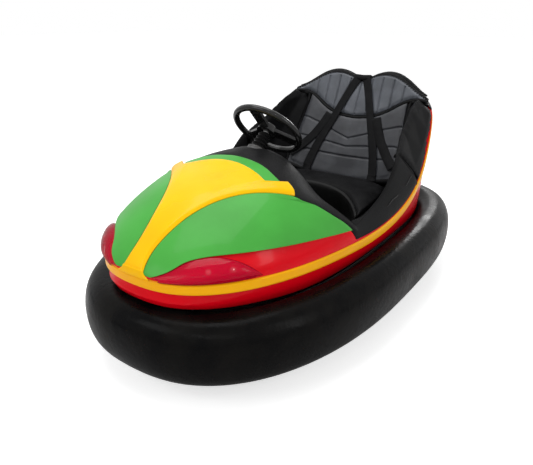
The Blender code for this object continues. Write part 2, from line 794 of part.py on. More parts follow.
# Angles from the crown of the lines that the bonnet and the cowl behind it are lofted on
bonnet_angles = (90, 83, 74, 66, 59, 52, 45, 35, 24, 12, 0)


def body_shell(parts):
    """Red moulding: skirt, groove for the belt and bonnet base in one shell."""
    turns, front = belt_turns()
    ring = []
    for turn in turns:
        skirt_x, skirt_y = superellipse(turn, **skirt_plan)
        inner_x, inner_y = belt_points(turn, -belt_depth - belt_gap)
        edge_x, edge_y = belt_points(turn, -skin)
        belt_z = belt_line(turn)
        skirt_z = smooth_value(skirt_drop, station_at(skirt_y))
        low_z = belt_z - belt_height / 2 - belt_gap
        high_z = belt_z + belt_height / 2 + belt_gap
        column = [(skirt_x, skirt_y, skirt_z)]
        for share in (0.4,):
            bulge = skirt_bulge * math.sin(math.pi * share)
            wide_x = skirt_x + (inner_x - skirt_x) * share
            wide_y = skirt_y + (inner_y - skirt_y) * share
            length = math.hypot(wide_x, wide_y - waist_y)
            column.append((
                wide_x * (1 + bulge / length), wide_y + (wide_y - waist_y) * bulge / length,
                skirt_z + (low_z - skirt_z) * share,
            ))
        column += [(inner_x, inner_y, low_z), (inner_x, inner_y, high_z), (edge_x, edge_y, high_z)]
        ring.append([(at_middle(turn, x), y, z) for x, y, z in column])
    dome = []
    for k in range(front + 1):
        row = []
        for angle in bonnet_angles:
            station = -1 + (smooth_value(bonnet_rear, angle) + 1) * (k / front) ** nose_spacing
            row.append(bonnet_point(angle, station) if angle < 90 else ring[k][-1])
        dome.append(row)
    dome[0] = [ring[0][-1]] * len(bonnet_angles)
    shell = skin_object("body_shell", [ring, dome], "body_red", parts)
    mirror_half(shell)
    thicken(shell, skin)
    return shell


def belt_strip(parts):
    """Yellow strip that fills the groove and sweeps up round the seat back."""
    half = belt_height / 2
    round_in = 0.004
    section = (
        (-belt_depth, -half), (-round_in, -half), (0.0, round_in - half), (0.0, half - round_in),
        (-round_in, half), (-belt_depth, half),
    )
    rows = []
    for turn in belt_turns()[0]:
        row = []
        for grow, rise in section:
            x, y = belt_points(turn, grow)
            row.append((at_middle(turn, x), y, belt_line(turn) + rise))
        rows.append(row)
    bm = bmesh.new()
    add_grid(bm, rows, close_columns=True)
    belt = from_bmesh("belt_strip", bm, "belt_yellow", parts)
    mirror_half(belt)
    return belt


def crest_angle(station, share=1.0):
    """Angle from the crown of the crest's edge at this station."""
    wide = share * smooth_value(crest_half, station) * belt_plan["half"]
    half = max(bonnet_point(90, station, skin)[0], 1e-6)
    return math.degrees(math.asin(min(wide / half, 0.999)))


def bonnet_panels(parts):
    """Green side panels, the crescent and the crest, each lofted over the base."""
    high = panel_lift + panel_thickness
    start = -1 + 0.006 / nose_reach
    inset = 0.002 / nose_reach
    columns = 9
    for side, letter in ((1, "l"), (-1, "r")):
        outer, inner = [], []
        for v in [(k / 14) ** 1.6 for k in range(15)]:
            row_out, row_in = [], []
            for j in range(columns + 1):
                share = j / columns
                angle = 60
                for _ in range(8):
                    station = start + (smooth_value(bonnet_rear, angle) - inset - start) * v
                    seam = math.degrees(panel_seam / max(bonnet_point(90, station)[0], 0.05))
                    upper = crest_angle(station) + seam
                    angle = upper + (smooth_value(panel_lower, station) - upper) * share
                row_out.append(bonnet_point(angle, station, high))
                row_in.append(bonnet_point(angle, station, panel_lift))
            outer.append(row_out)
            inner.append(row_in)
        if side < 0:
            outer, inner = mirrored(outer), mirrored(inner)
        solid_between(f"bonnet_panel_{letter}", outer, inner, "panel_green", parts)

    shares = [0.0, 0.2, 0.42, 0.60, 0.70, 0.74, 0.79, 0.88, 0.95, 1.0]
    shares = [-share for share in reversed(shares[1:])] + shares
    outer, inner = [], []
    for v in [(k / 16) ** 1.4 for k in range(17)]:
        row_out, row_in = [], []
        for share in shares:
            station = start + (smooth_value(crest_rear, abs(share)) - start) * v
            wide = smooth_value(crest_half, station) * belt_plan["half"]
            angle = math.copysign(crest_angle(station, abs(share)), share)
            edge = min((1 - abs(share)) * wide / 0.012, 1.0)
            lift = high + (crest_lift - panel_thickness) * edge
            dish = max(0.0, 1 - abs(share) / 0.70) ** 0.6 * max(0.0, min((station + 0.70) / 0.147, 1.0))
            dish *= max(0.0, min((-0.476 - station) / 0.052, 1.0))
            lift = max(lift - dish_depth * dish, panel_lift + panel_thickness / 2)
            row_out.append(bonnet_point(angle, station, lift))
            row_in.append(bonnet_point(angle, station, panel_lift))
        outer.append(row_out)
        inner.append(row_in)
    solid_between("bonnet_crest", outer, inner, "crest_yellow", parts)

    outer, inner = [], []
    half = bonnet_point(90, smooth_value(bonnet_rear, 30))[0]
    for v in (0.0, 0.5, 1.0):
        row_out, row_in = [], []
        for j in range(-8, 9):
            share = 0.735 * j / 8
            front = smooth_value(crest_rear, abs(share)) + inset
            front_x = share * smooth_value(crest_half, front) * belt_plan["half"]
            x = front_x * (1 + 0.17 * v)
            angle = math.degrees(math.asin(x / half))
            rear = smooth_value(bonnet_rear, abs(angle)) - inset
            station = front + (rear - front) * v
            row_out.append(bonnet_point(angle, station, high))
            row_in.append(bonnet_point(angle, station, panel_lift))
        outer.append(row_out)
        inner.append(row_in)
    solid_between("bonnet_crescent", outer, inner, "panel_green", parts)


def lamps(parts):
    """Almond lenses that bulge over the side panels."""
    lens_gap = 0.0016
    lens_wall = 0.003
    for side, letter in ((1, "l"), (-1, "r")):
        outer, inner = [], []
        for i in range(11):
            v = i / 10
            station = lens_start + (lens_end - lens_start) * v
            pinch = max(0.0, (v - 0.55) / 0.45) ** 2
            upper = smooth_value(panel_lower, station) + 1.0
            upper += (lens_low_angle - 2.5 - upper) * pinch
            lower = lens_low_angle - 1.5 * pinch
            row_out, row_in = [], []
            for j in range(7):
                share = j / 6
                angle = upper + (lower - upper) * share
                bulge = math.sin(math.pi * share) ** 0.7 * math.sin(math.pi * min(v + 0.02, 0.98)) ** 0.6
                row_out.append(bonnet_point(angle, station, lens_gap + lens_wall + lens_bulge * bulge))
                row_in.append(bonnet_point(angle, station, lens_gap + (lens_bulge - 0.002) * bulge))
            outer.append(row_out)
            inner.append(row_in)
        if side < 0:
            outer, inner = mirrored(outer), mirrored(inner)
        solid_between(f"lamp_lens_{letter}", outer, inner, "lens_red", parts)


def step_table(table, at):
    """Each column of offsets in a table of rows, at a place between its rows."""
    count = len(table[0]) - 1
    size = len(table[0][1])
    return [
        [smooth_value([(row[0], row[c + 1][i]) for row in table], at) for i in range(size)] for c in range(count)
    ]


def cowl_section(angle):
    """Points across the pad behind the bonnet, from the bonnet's edge to the tub's front wall."""
    edge_gap = 6 * fit_gap / nose_reach
    start = Vector(bonnet_point(angle, smooth_value(bonnet_rear, angle) + edge_gap))
    points = [start] + [start + Vector(step) for step in step_table(cowl_steps, angle)]
    foot_x = min(points[-1].x, tub_half + 0.004)
    foot_y = tub_front_y + corner_depth * max(angle - 70, 0) / 20
    points.append(Vector((foot_x, foot_y, tub_top_z + 4 * fit_gap)))
    return points


def on_ledge(station):
    """Point above the line of the body's ledge at this station."""
    ledge = ledge_points()
    y = y_at(station)
    k = max(i for i in range(len(ledge) - 1) if ledge[i].y <= y)
    here = ledge[k].lerp(ledge[k + 1], (y - ledge[k].y) / (ledge[k + 1].y - ledge[k].y))
    return here + Vector((0.0, 0.0, rim_lift))


def rim_section(foot):
    """Foot, face, crease, outer and inner crest of the padded rim whose foot is here on the ledge."""
    station = station_at(foot.y)
    face, crease, crest, crease_ahead, crest_ahead = [
        [smooth_value([(row[0], row[c][i]) for row in rim_steps], station) for i in range(len(rim_steps[0][c]))]
        if c < 4 else smooth_value(rim_steps, station, c)
        for c in range(1, 6)
    ]
    points = [on_ledge(station)]
    for (inset, rise), ahead in ((face, 0.0), (crease, crease_ahead), (crest, crest_ahead)):
        points.append(on_ledge(station - ahead) + Vector((-inset, 0.0, rise)))
    points.append(points[-1] + Vector((-crest_roll, 0.0, -crest_roll)))
    return points


def side_section(foot):
    """Points across the pad beside the seat, from the body's ledge to the tub's side wall."""
    points = rim_section(foot)
    wall_x = tub_half + 0.004
    inner = points[-1]
    points.append(Vector(((inner.x + wall_x) / 2, inner.y, tub_top_z + (inner.z - tub_top_z) * 0.55)))
    points.append(Vector((wall_x, max(inner.y, tub_front_y + corner_depth), tub_top_z + 4 * fit_gap)))
    return points


def padded_solid(name, rows, first_side, thickness, shares, slot, owner):
    """A pad under half a grid of points, mirrored. Its thickness has a share for each column, and its edges never
    turn in under what they meet."""
    under = []
    last = len(rows) - 1
    for i, row in enumerate(rows):
        inside = []
        for j, point in enumerate(row):
            along = rows[min(i + 1, last)][j] - rows[max(i - 1, 0)][j]
            across = row[min(j + 1, len(row) - 1)] - row[max(j - 1, 0)]
            if i == 0:
                along = Vector((1.0, 0.0, 0.0))
            normal = along.cross(across)
            if i == last:
                normal.y = 0.0
            if j == 0 and i <= first_side:
                normal.y = min(normal.y, 0.0)
            if j == 0 and i >= first_side:
                normal.z = min(normal.z, 0.0)
            if i == 0:
                normal.x = 0.0
            inside.append(point - normal.normalized() * thickness * shares[j])
        under.append(inside)
    outer, inner = [
        [[Vector((-p.x, p.y, p.z)) for p in row] for row in reversed(grid[1:])] + grid for grid in (rows, under)
    ]
    return solid_between(name, outer, inner, slot, owner, same_diagonals=True)


def coaming(parts, cutters):
    """Padded rim of the cockpit: cowl, side pads and the inner face down to the tub."""
    rows = [cowl_section(angle) for angle in reversed(bonnet_angles[1:])]
    first_side = len(rows)
    ledge = ledge_points()
    front = belt_turns()[1]
    corner = cowl_section(90)
    side = side_section(ledge[front])
    foot = side[0] + Vector((0.0, 0.0, skin + fit_gap))
    rows.append([foot, *[point + foot - corner[0] for point in corner[1:-1]], side[-1]])
    for foot in ledge[front + 1:]:
        if foot.y >= y_at(coaming_end):
            break
        rows.append(side_section(foot))
    rows.append(side_section(on_ledge(coaming_end)))
    for point in rows[0]:
        point.x = 0.0
    pad = padded_solid("coaming", rows, first_side, coaming_thickness, coaming_shares, "vinyl_black", parts)
    hub, axis = steering_line()
    hole = boot_radius + boot_base + fit_gap
    mouth = rod("boot_mouth", hub - axis * 0.16, hub - axis * 0.02, hole, "vinyl_black", cutters, segments=28)
    boolean(pad, helper(mouth, cutters))
    return pad


def lip_y(x):
    """y of the bench's front lip."""
    return lip_middle_y + (lip_side_y - lip_middle_y) * abs(x / bench_half) ** lip_power


def cockpit(parts, cutters):
    """Footwell tub, moulded bench and its cushion."""
    tub = box(
        "footwell_tub", (-tub_half, tub_front_y, tub_floor_z), (tub_half, tub_rear_y, tub_top_z),
        "moulded_black", parts,
    )
    hollow = box(
        "tub_hollow", (-tub_half + skin, tub_front_y + skin, tub_floor_z + skin),
        (tub_half - skin, tub_rear_y + 0.05, tub_top_z + 0.05), "moulded_black", cutters,
    )
    boolean(tub, helper(hollow, cutters))

    base_z = tub_floor_z + skin + fit_gap
    rows = []
    for j in range(9):
        x = bench_half * j / 8
        lip = lip_y(x)
        rows.append([
            (x, lip + 0.030, base_z), (x, lip + 0.012, (base_z + lip_z) / 2), (x, lip, lip_z - 0.020),
            (x, lip + 0.008, lip_z - 0.004), (x, lip + 0.020, lip_z), (x, lip + 0.034, lip_z - 0.008),
            (x, lip + 0.045, bench_top_z), (x, bench_rear_y, bench_top_z),
        ])
    bench = skin_object("bench", [rows], "moulded_black", parts)
    mirror_half(bench)
    thicken(bench, skin)

    outer, inner = [], []
    edge_x = backrest_point(1.0, 0.0)[0]
    for j in range(-6, 7):
        x = cushion_half * j / 6
        front = lip_y(x) + cushion_setback
        rear = backrest_point(x * (1 - cushion_taper) / edge_x, pad_low)[1] - 0.0012
        side_drop = 0.014 * abs(j / 6) ** 6
        top, low = [], []
        for share, rise in ((0.0, 0.6), (0.08, 0.95), (0.4, 1.0), (0.8, 0.95), (1.0, 0.8)):
            narrow = x * (1 - cushion_taper * share**2)
            y = front + (rear - front) * share
            top.append((narrow, y, bench_top_z + cushion_thickness * rise - side_drop))
            low.append((narrow, y, bench_top_z + 2 * fit_gap))
        outer.append(top)
        inner.append(low)
    solid_between("seat_cushion", outer, inner, "vinyl_black", parts)


def backrest_point(across, up, back=0.0):
    """Point on the backrest's face: across from -1 to 1, up from 0 to 1, moved back from the face."""
    middle, middle_z, inset, edge, edge_z = [smooth_value(backrest_sections, up, c) for c in range(1, 6)]
    edge_x = belt_plan["half"] - inset
    wide = abs(across)
    y = y_at(middle) + (y_at(edge) - y_at(middle)) * wide**3
    z = middle_z + (edge_z - middle_z) * wide**3
    over = min(wide / 0.85, 1.0)
    hump = hump_rise * math.sin(math.pi * over ** (0.72 + 0.28 * over)) ** 2 * max(up, 0.0) ** 4
    return across * edge_x, y + back * 0.86, z + hump - back * 0.30


def pad_split(across):
    """Share up where the seam between the upper pad and those below it lies."""
    return smooth_value(arc_line, abs(across))


def pad_grid(name, start, end, columns, rows, low, high, slot, parts):
    """A bulging pad between two shares across, from low(across) to high(across)."""
    outer, inner = [], []
    for i in range(rows + 1):
        face, back = [], []
        for j in range(columns + 1):
            across = start + (end - start) * j / columns
            up = low(across) + (high(across) - low(across)) * i / rows
            bulge = pad_bulge * math.sin(math.pi * i / rows) * math.sin(math.pi * j / columns)
            face.append(backrest_point(across, up, -bulge))
            back.append(backrest_point(across, up, pad_thickness))
        outer.append(face)
        inner.append(back)
    return solid_between(name, outer, inner, slot, parts)


def backrest(parts):
    """Lower pad and the arched upper pad with two humps."""
    seam = 0.006
    edge = bolster_share - 0.001

    def bottom(across):
        return pad_low

    def below(across):
        return pad_split(across) - seam

    pad_grid("backrest_lower", -edge, edge, 12, 5, bottom, below, "vinyl_grey", parts)
    pad_grid("backrest_upper", -arc_end, arc_end, 18, 4, pad_split, lambda across: 1.0, "vinyl_grey", parts)


def wings(parts):
    """Padded side wings that carry the coaming's crest on up to the shoulders."""
    ledge = ledge_points()
    seam = Vector((0.0, 0.0026, 0.0))
    feet = [on_ledge(coaming_end) + seam]
    last_y = y_at(wing_edge[-1][0])
    feet += [point for point in ledge if feet[0].y + 0.015 < point.y < last_y - 0.010]
    feet.append(on_ledge(wing_edge[-1][0]))
    places = []
    for station, front, on_pad in wing_edge:
        if front:
            x, y = front
            edge = Vector((x, y, bench_top_z + fit_gap))
            places.append((station, edge, edge + Vector((0.004, pad_thickness * 0.76, 0.0))))
        else:
            places.append((station, Vector(backrest_point(*on_pad)), Vector(backrest_point(*on_pad, pad_thickness))))
    rows = []
    for foot in feet:
        station = station_at(foot.y)
        edge, back = [
            Vector([smooth_value([(place[0], place[c][i]) for place in places], station) for i in range(3)])
            for c in (1, 2)
        ]
        section = rim_section(foot)
        if foot is feet[0]:
            section = [point + seam for point in section]
        hollow = wing_hollow * min((wing_edge[-1][0] - station) / 0.15, 1.0)
        middle = section[-1].lerp(edge, 0.5) + Vector((hollow, hollow, 0.0))
        along = on_ledge(station + 0.01) - on_ledge(station - 0.01)
        inward = Vector((-along.y, along.x, 0.0)).normalized()
        heel = section[0] + inward * heel_width + Vector((0.0, 0.0, heel_rise))
        rows.append([*section, middle, edge, back, heel])
    for side, letter in ((1, "l"), (-1, "r")):
        bm = bmesh.new()
        grid = add_grid(bm, [[(side * p.x, p.y, p.z) for p in row] for row in rows], close_columns=True)
        centre = sum(rows[0], Vector()) / len(rows[0])
        centre.y = rows[0][0].y + end_hollow
        middle = bm.verts.new((side * centre.x, centre.y, centre.z))
        for a, b in zip(grid[0], grid[0][1:] + grid[0][:1]):
            bm.faces.new((a, b, middle))
        bm.faces.new(grid[-1])
        from_bmesh(f"bolster_{letter}", bm, "vinyl_black", parts)


def shoulder_belts(parts):
    """Webbing from the notch between the humps down over each half of the backrest, and its anchor plate."""
    for side, letter in ((1, "l"), (-1, "r")):
        outer, inner = [], []
        for k in range(15):
            place = k * (len(belt_path) - 1) / 14
            i = min(int(place), len(belt_path) - 2)
            across, up = [a + (b - a) * (place - i) for a, b in zip(belt_path[i], belt_path[i + 1])]
            reach = webbing_width / 2 / belt_plan["half"]
            row_out, row_in = [], []
            for shift in (-reach, reach):
                row_out.append(backrest_point(side * (across + shift), up, -pad_bulge - belt_clear - webbing_thickness))
                row_in.append(backrest_point(side * (across + shift), up, -pad_bulge - belt_clear))
            outer.append(row_out)
            inner.append(row_in)
        solid_between(f"shoulder_belt_{letter}", outer, inner, "webbing_black", parts)


def seat_shell(parts):
    """Red moulding behind the seat, from the belt up to the pads' rim."""
    rows = []
    turns = belt_turns()[0]
    ledge = ledge_points()
    shoulder_y = y_at(wing_edge[-1][0]) + 0.004
    corner = next(k for k, point in enumerate(ledge) if point.y > shoulder_y)
    for k in range(corner, len(ledge)):
        foot = ledge[k]
        across = 1.0 - (k - corner) / (len(ledge) - 1 - corner)
        lower = shoulder_drop * max(across - 0.6, 0.0) ** 2
        top = Vector(backrest_point(across * shell_reach, 1.0 - lower, pad_thickness + skin + 2 * fit_gap))
        top.z -= 0.012
        middle = (top + foot) / 2 + Vector((0.0, 0.018 * max(k - corner, 0) / (len(ledge) - corner), 0.0))
        along = ledge[min(k + 1, len(ledge) - 1)] - ledge[k - 1]
        lean = abs(along.cross(middle - foot).normalized().z)
        foot.z += skin * lean + 3 * fit_gap
        rows.append([(at_middle(turns[k], p.x), p.y, p.z) for p in (foot, middle, top)])
    shell = skin_object("seat_shell", [rows], "body_red", parts)
    mirror_half(shell)
    thicken(shell, skin)
    return shell


def steering_line():
    """Centre of the steering wheel and the direction of its axis."""
    axis = Vector((0.0, math.sin(column_lean), math.cos(column_lean)))
    return Vector((0.0, hub_y, hub_z)), axis


def joint_height():
    """Height at which the column's line meets the swivel axis."""
    return hub_z - (hub_y - drive_y) / math.tan(column_lean)


def steering(parts, cutters):
    """Wheel, column, bearing and boot on the leaning axis that meets the swivel axis."""
    hub, axis = steering_line()
    turn_to = axis.to_track_quat("Z", "Y")

    bm = bmesh.new()
    bmesh.ops.create_cone(
        bm, cap_ends=True, segments=24, radius1=hub_pad_radius, radius2=hub_pad_radius * 0.8, depth=hub_height,
    )
    wheel_part = from_bmesh("steering_wheel", bm, "vinyl_black", parts)
    turns = [2 * math.pi * k / 10 for k in range(10)]
    rim = turned(
        "rim", [(rim_radius + rim_bar * math.cos(a), rim_bar * math.sin(a)) for a in turns], "vinyl_black", cutters,
        steps=40,
    )
    spokes = []
    for turn in (90, 210, 330):
        spoke = box(
            f"spoke_{turn}", (0.020, -spoke_width / 2, -spoke_thickness / 2),
            (rim_radius, spoke_width / 2, spoke_thickness / 2), "vinyl_black", cutters,
        )
        middle = (rim_radius + 0.020) / 2
        spoke.location = (middle * math.cos(math.radians(turn)), middle * math.sin(math.radians(turn)), 0.0)
        spoke.rotation_euler = (0.0, 0.0, math.radians(turn))
        spokes.append(spoke)
    for piece in [rim, *spokes]:
        boolean(wheel_part, helper(piece, cutters), "UNION")
        piece.parent = wheel_part
    wheel_part.rotation_mode = "QUATERNION"
    wheel_part.rotation_quaternion = turn_to
    wheel_part.location = hub

    foot = Vector((0.0, drive_y, joint_height())) + axis * 0.024
    below_hub = hub_height / 2 + fit_gap
    rod("steering_column", foot, hub - axis * below_hub, column_radius, "zinc_steel", parts)

    bore = column_radius + fit_gap
    boot_top = below_hub + boot_base
    fold = boot_length / boot_folds
    outside = [(boot_radius + boot_base, 0.0), (boot_radius + boot_base, 0.002)]
    for k in range(boot_folds):
        outside += [(boot_radius - 0.002 * k, fold * (k + 0.35)), (boot_radius - 0.009 - 0.002 * k, fold * (k + 1.0))]
    profile = [(column_radius + boot_base, 0.0), *outside, (column_radius + boot_base, boot_length)]
    boot = turned("column_boot", profile, "moulded_black", parts, steps=24)
    bearing = turned(
        "column_bearing",
        [(bore, 0.0), (boot_radius + boot_base, 0.0), (boot_radius + boot_base, bearing_length), (bore, bearing_length)],
        "frame_steel", parts, steps=24,
    )
    for piece, height in ((boot, boot_top + boot_length), (bearing, boot_top + boot_length + fit_gap + bearing_length)):
        piece.rotation_mode = "QUATERNION"
        piece.rotation_quaternion = turn_to
        piece.location = hub - axis * height


def details(parts):
    """Battery block below the bench and the pedal on the footwell's floor."""
    box(
        "battery_block", (-battery_half, battery_front_y, frame_low_z), (battery_half, battery_rear_y, battery_top_z),
        "moulded_black", parts, bevel=0.006,
    )
    floor_z = tub_floor_z + skin + fit_gap
    start_y = tub_front_y + skin + 0.026
    box(
        "pedal", (pedal_x - pedal_width / 2, start_y, floor_z),
        (pedal_x + pedal_width / 2, start_y + pedal_length, floor_z + pedal_height), "zinc_steel", parts, bevel=0.003,
    )


def main():
    clear_scene()
    looks()
    parts = collection("bumper_car")
    cutters = collection("cutters", helper=True)
    bumper_tube(parts)
    bumper_band(parts)
    floor_pan(parts, cutters)
    frame(parts, cutters)
    rear_axle(parts, cutters)
    for side, letter in ((1, "l"), (-1, "r")):
        wheel(f"rear_wheel_{letter}", (side * rear_wheel_x, rear_wheel_y, wheel_radius), parts)
    drive_unit(parts, cutters)
    body_shell(parts)
    belt_strip(parts)
    bonnet_panels(parts)
    lamps(parts)
    coaming(parts, cutters)
    cockpit(parts, cutters)
    backrest(parts)
    wings(parts)
    shoulder_belts(parts)
    seat_shell(parts)
    steering(parts, cutters)
    details(parts)


main()
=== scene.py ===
import json
import math

import bmesh
import bpy
import numpy as np
from mathutils import Matrix, Vector
from mathutils.bvhtree import BVHTree
from mathutils.kdtree import KDTree


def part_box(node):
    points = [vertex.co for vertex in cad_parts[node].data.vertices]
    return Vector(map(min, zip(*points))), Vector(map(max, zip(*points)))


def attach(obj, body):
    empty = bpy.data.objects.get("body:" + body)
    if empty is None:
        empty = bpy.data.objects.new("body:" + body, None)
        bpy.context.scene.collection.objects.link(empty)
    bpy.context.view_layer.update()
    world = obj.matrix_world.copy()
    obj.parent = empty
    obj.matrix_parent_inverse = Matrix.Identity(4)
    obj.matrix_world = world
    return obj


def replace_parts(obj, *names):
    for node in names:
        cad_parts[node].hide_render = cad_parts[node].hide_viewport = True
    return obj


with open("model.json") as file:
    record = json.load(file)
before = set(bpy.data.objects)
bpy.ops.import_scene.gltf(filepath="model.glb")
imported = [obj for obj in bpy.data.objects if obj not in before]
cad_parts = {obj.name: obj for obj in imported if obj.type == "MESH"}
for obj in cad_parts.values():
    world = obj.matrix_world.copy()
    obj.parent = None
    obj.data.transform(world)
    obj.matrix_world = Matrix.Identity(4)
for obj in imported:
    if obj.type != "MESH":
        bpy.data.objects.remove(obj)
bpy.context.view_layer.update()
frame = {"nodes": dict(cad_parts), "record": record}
cad = frame["nodes"]
record = frame["record"]
body_of = {node: body for body, nodes in record["behaviour"]["bodies"].items() for node in nodes}


# ---- Moulded glass-fibre body -------------------------------------------------------------------
# One glossy red moulding: skirt, groove for the belt and base of the bonnet. It is laid up in a
# mould with a gel coat, so its faces are smooth, its edges rounded and its shine deep.

def effect(name, inputs, outputs):
    """An empty shader effect with named inputs (name, kind, value) and outputs (name, kind)."""
    tree = bpy.data.node_groups.new(name, "ShaderNodeTree")
    for label, kind, value in inputs:
        made = tree.interface.new_socket(label, in_out="INPUT", socket_type="NodeSocket" + kind)
        made.default_value = value
    for label, kind in outputs:
        tree.interface.new_socket(label, in_out="OUTPUT", socket_type="NodeSocket" + kind)
    return tree, tree.nodes.new("NodeGroupInput"), tree.nodes.new("NodeGroupOutput")


def node_in(tree, kind, values=(), **settings):
    """A shader node with its settings and its sockets' values."""
    made = tree.nodes.new("ShaderNode" + kind)
    for key, value in settings.items():
        setattr(made, key, value)
    for key, value in dict(values).items():
        made.inputs[key].default_value = value
    return made


def make_mottle():
    """Slow change of colour and shine over a surface."""
    tree, source, result = effect(
        "slow_mottle",
        [
            ("Colour", "Color", (1, 1, 1, 1)), ("Shade", "Color", (1, 1, 1, 1)),
            ("Scale", "Float", 6.0), ("Shine", "Float", 0.2), ("Shine change", "Float", 0.05),
        ],
        [("Colour", "Color"), ("Roughness", "Float")],
    )
    place = node_in(tree, "TexCoord")
    noise = node_in(tree, "TexNoise", {"Detail": 4.0, "Roughness": 0.55})
    spread = node_in(tree, "MapRange", {"From Min": 0.35, "From Max": 0.65})
    mix = node_in(tree, "Mix", data_type="RGBA")
    add = node_in(tree, "Math", operation="MULTIPLY_ADD")
    links = tree.links
    links.new(place.outputs["Object"], noise.inputs["Vector"])
    links.new(source.outputs["Scale"], noise.inputs["Scale"])
    links.new(noise.outputs["Fac"], spread.inputs["Value"])
    links.new(spread.outputs[0], mix.inputs[0])
    links.new(source.outputs["Colour"], mix.inputs[6])
    links.new(source.outputs["Shade"], mix.inputs[7])
    links.new(mix.outputs[2], result.inputs["Colour"])
    links.new(spread.outputs[0], add.inputs[0])
    links.new(source.outputs["Shine change"], add.inputs[1])
    links.new(source.outputs["Shine"], add.inputs[2])
    links.new(add.outputs[0], result.inputs["Roughness"])
    return tree


def make_relief(name, kind, **values):
    """A fine relief over a surface, given out as a bent normal."""
    tree, source, result = effect(
        name, [("Scale", "Float", 400.0), ("Depth", "Float", 0.0002)], [("Normal", "Vector")]
    )
    place = node_in(tree, "TexCoord")
    pattern = node_in(tree, kind, values)
    bump = node_in(tree, "Bump", {"Strength": 1.0})
    links = tree.links
    links.new(place.outputs["Object"], pattern.inputs["Vector"])
    links.new(source.outputs["Scale"], pattern.inputs["Scale"])
    links.new(pattern.outputs[0], bump.inputs["Height"])
    links.new(source.outputs["Depth"], bump.inputs["Distance"])
    links.new(bump.outputs[0], result.inputs["Normal"])
    return tree


mottle = make_mottle()
orange_peel = make_relief("orange_peel", "TexNoise", Detail=1.0)
vinyl_grain = make_relief("vinyl_grain", "TexVoronoi")
cast_skin = make_relief("cast_skin", "TexNoise", Detail=3.0)


def surface(
    name, colour, shade, roughness, change, scale, relief=None, grain=0.0, depth=0.0, **extra
):
    """A material whose colour and shine change slowly, from its colour to its shade, with a fine
    relief. grain is how fine the relief is and depth its height; extra names shader sockets."""
    made = bpy.data.materials.new(name)
    made.use_nodes = True
    tree = made.node_tree
    shader = tree.nodes["Principled BSDF"]
    told = {
        "Colour": (*colour, 1), "Shade": (*shade, 1), "Scale": scale, "Shine": roughness,
        "Shine change": change,
    }
    tone = node_in(tree, "Group", node_tree=mottle)
    for key, value in told.items():
        tone.inputs[key].default_value = value
    tree.links.new(tone.outputs["Colour"], shader.inputs["Base Color"])
    tree.links.new(tone.outputs["Roughness"], shader.inputs["Roughness"])
    if relief:
        bent = node_in(tree, "Group", node_tree=relief)
        bent.inputs["Scale"].default_value = grain
        bent.inputs["Depth"].default_value = depth
        tree.links.new(bent.outputs["Normal"], shader.inputs["Normal"])
    for key, value in extra.items():
        shader.inputs[key.replace("_", " ")].default_value = value
    made.diffuse_color = (*colour, 1)
    return made


gel_coat = {"Specular_IOR_Level": 0.08, "Coat_Weight": 0.08, "Coat_Roughness": 0.03}
red_paint = surface(
    "red_gel_coat", colour=(0.74, 0.001, 0.009), shade=(0.66, 0.001, 0.008),
    roughness=0.24, change=0.04, scale=5.0, relief=orange_peel, grain=90.0, depth=0.00012,
    **gel_coat,
)
inner_face_black = surface(
    "inner_face_black_moulding", colour=(0.010, 0.010, 0.010), shade=(0.016, 0.015, 0.014),
    roughness=0.65, change=0.1, scale=10.0, relief=cast_skin, grain=300.0, depth=0.0004,
    Specular_IOR_Level=0.1,
)


def linked(name, data):
    """A new object in the scene with this mesh or curve."""
    made = bpy.data.objects.new(name, data)
    bpy.context.scene.collection.objects.link(made)
    return made


def piece_from(bm, name, smooth=True):
    """A new object with a bmesh's faces. The bmesh is freed."""
    for face in bm.faces:
        face.smooth = smooth
    mesh = bpy.data.meshes.new(name)
    bm.to_mesh(mesh)
    bm.free()
    return linked(name, mesh)


def joined(node):
    """The mesh of a CAD node as a bmesh, with the points that meet joined."""
    bm = bmesh.new()
    bm.from_mesh(cad[node].data)
    bmesh.ops.remove_doubles(bm, verts=bm.verts, dist=0.00003)
    return bm


def settle(made, look, node):
    """Gives a piece its material or materials, and the body of the node it stands for."""
    made.data.materials.clear()
    for one in look if isinstance(look, list) else [look]:
        made.data.materials.append(one)
    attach(made, body_of[node])
    return made


def smooth_piece(name, node, look, sharp=40.0, levels=2, edge_round=0.001):
    """A finer copy of a CAD node, smooth between its sharp edges and with those a little rounded.
    An edge is sharp where its faces meet at more than that many degrees."""
    bm = joined(node)
    bmesh.ops.join_triangles(
        bm, faces=bm.faces, angle_face_threshold=math.radians(sharp),
        angle_shape_threshold=math.radians(170),
    )
    crease = bm.edges.layers.float.get("crease_edge") or bm.edges.layers.float.new("crease_edge")
    for edge in bm.edges:
        edge.smooth = True
        if len(edge.link_faces) != 2 or edge.calc_face_angle(0.0) > math.radians(sharp):
            edge[crease] = 1.0
    made = piece_from(bm, name)
    finer = made.modifiers.new("finer", "SUBSURF")
    finer.levels = finer.render_levels = levels
    if edge_round:
        rounded = made.modifiers.new("rounded_edges", "BEVEL")
        rounded.width, rounded.segments, rounded.angle_limit = edge_round, 2, math.radians(sharp)
        rounded.limit_method, rounded.harden_normals = "ANGLE", True
    settle(made, look, node)
    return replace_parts(made, node)


# a face turned inwards by more than this share is made near black, darker than the red outside
turned_in = -0.25
body_moulding = smooth_piece("body_moulding", "body_shell", red_paint)
body_moulding.data.materials.append(inner_face_black)
for face in body_moulding.data.polygons:
    outwards = face.normal.x * face.center.x + face.normal.y * face.center.y
    face.material_index = int(outwards < turned_in * face.center.xy.length)


# ---- Bumper tube --------------------------------------------------------------------------------
# Thick rubber tube all round the car, filled with air or foam, in a steel band that holds it to the
# floor pan. The rubber is moulded and rubbed glossy by other cars.

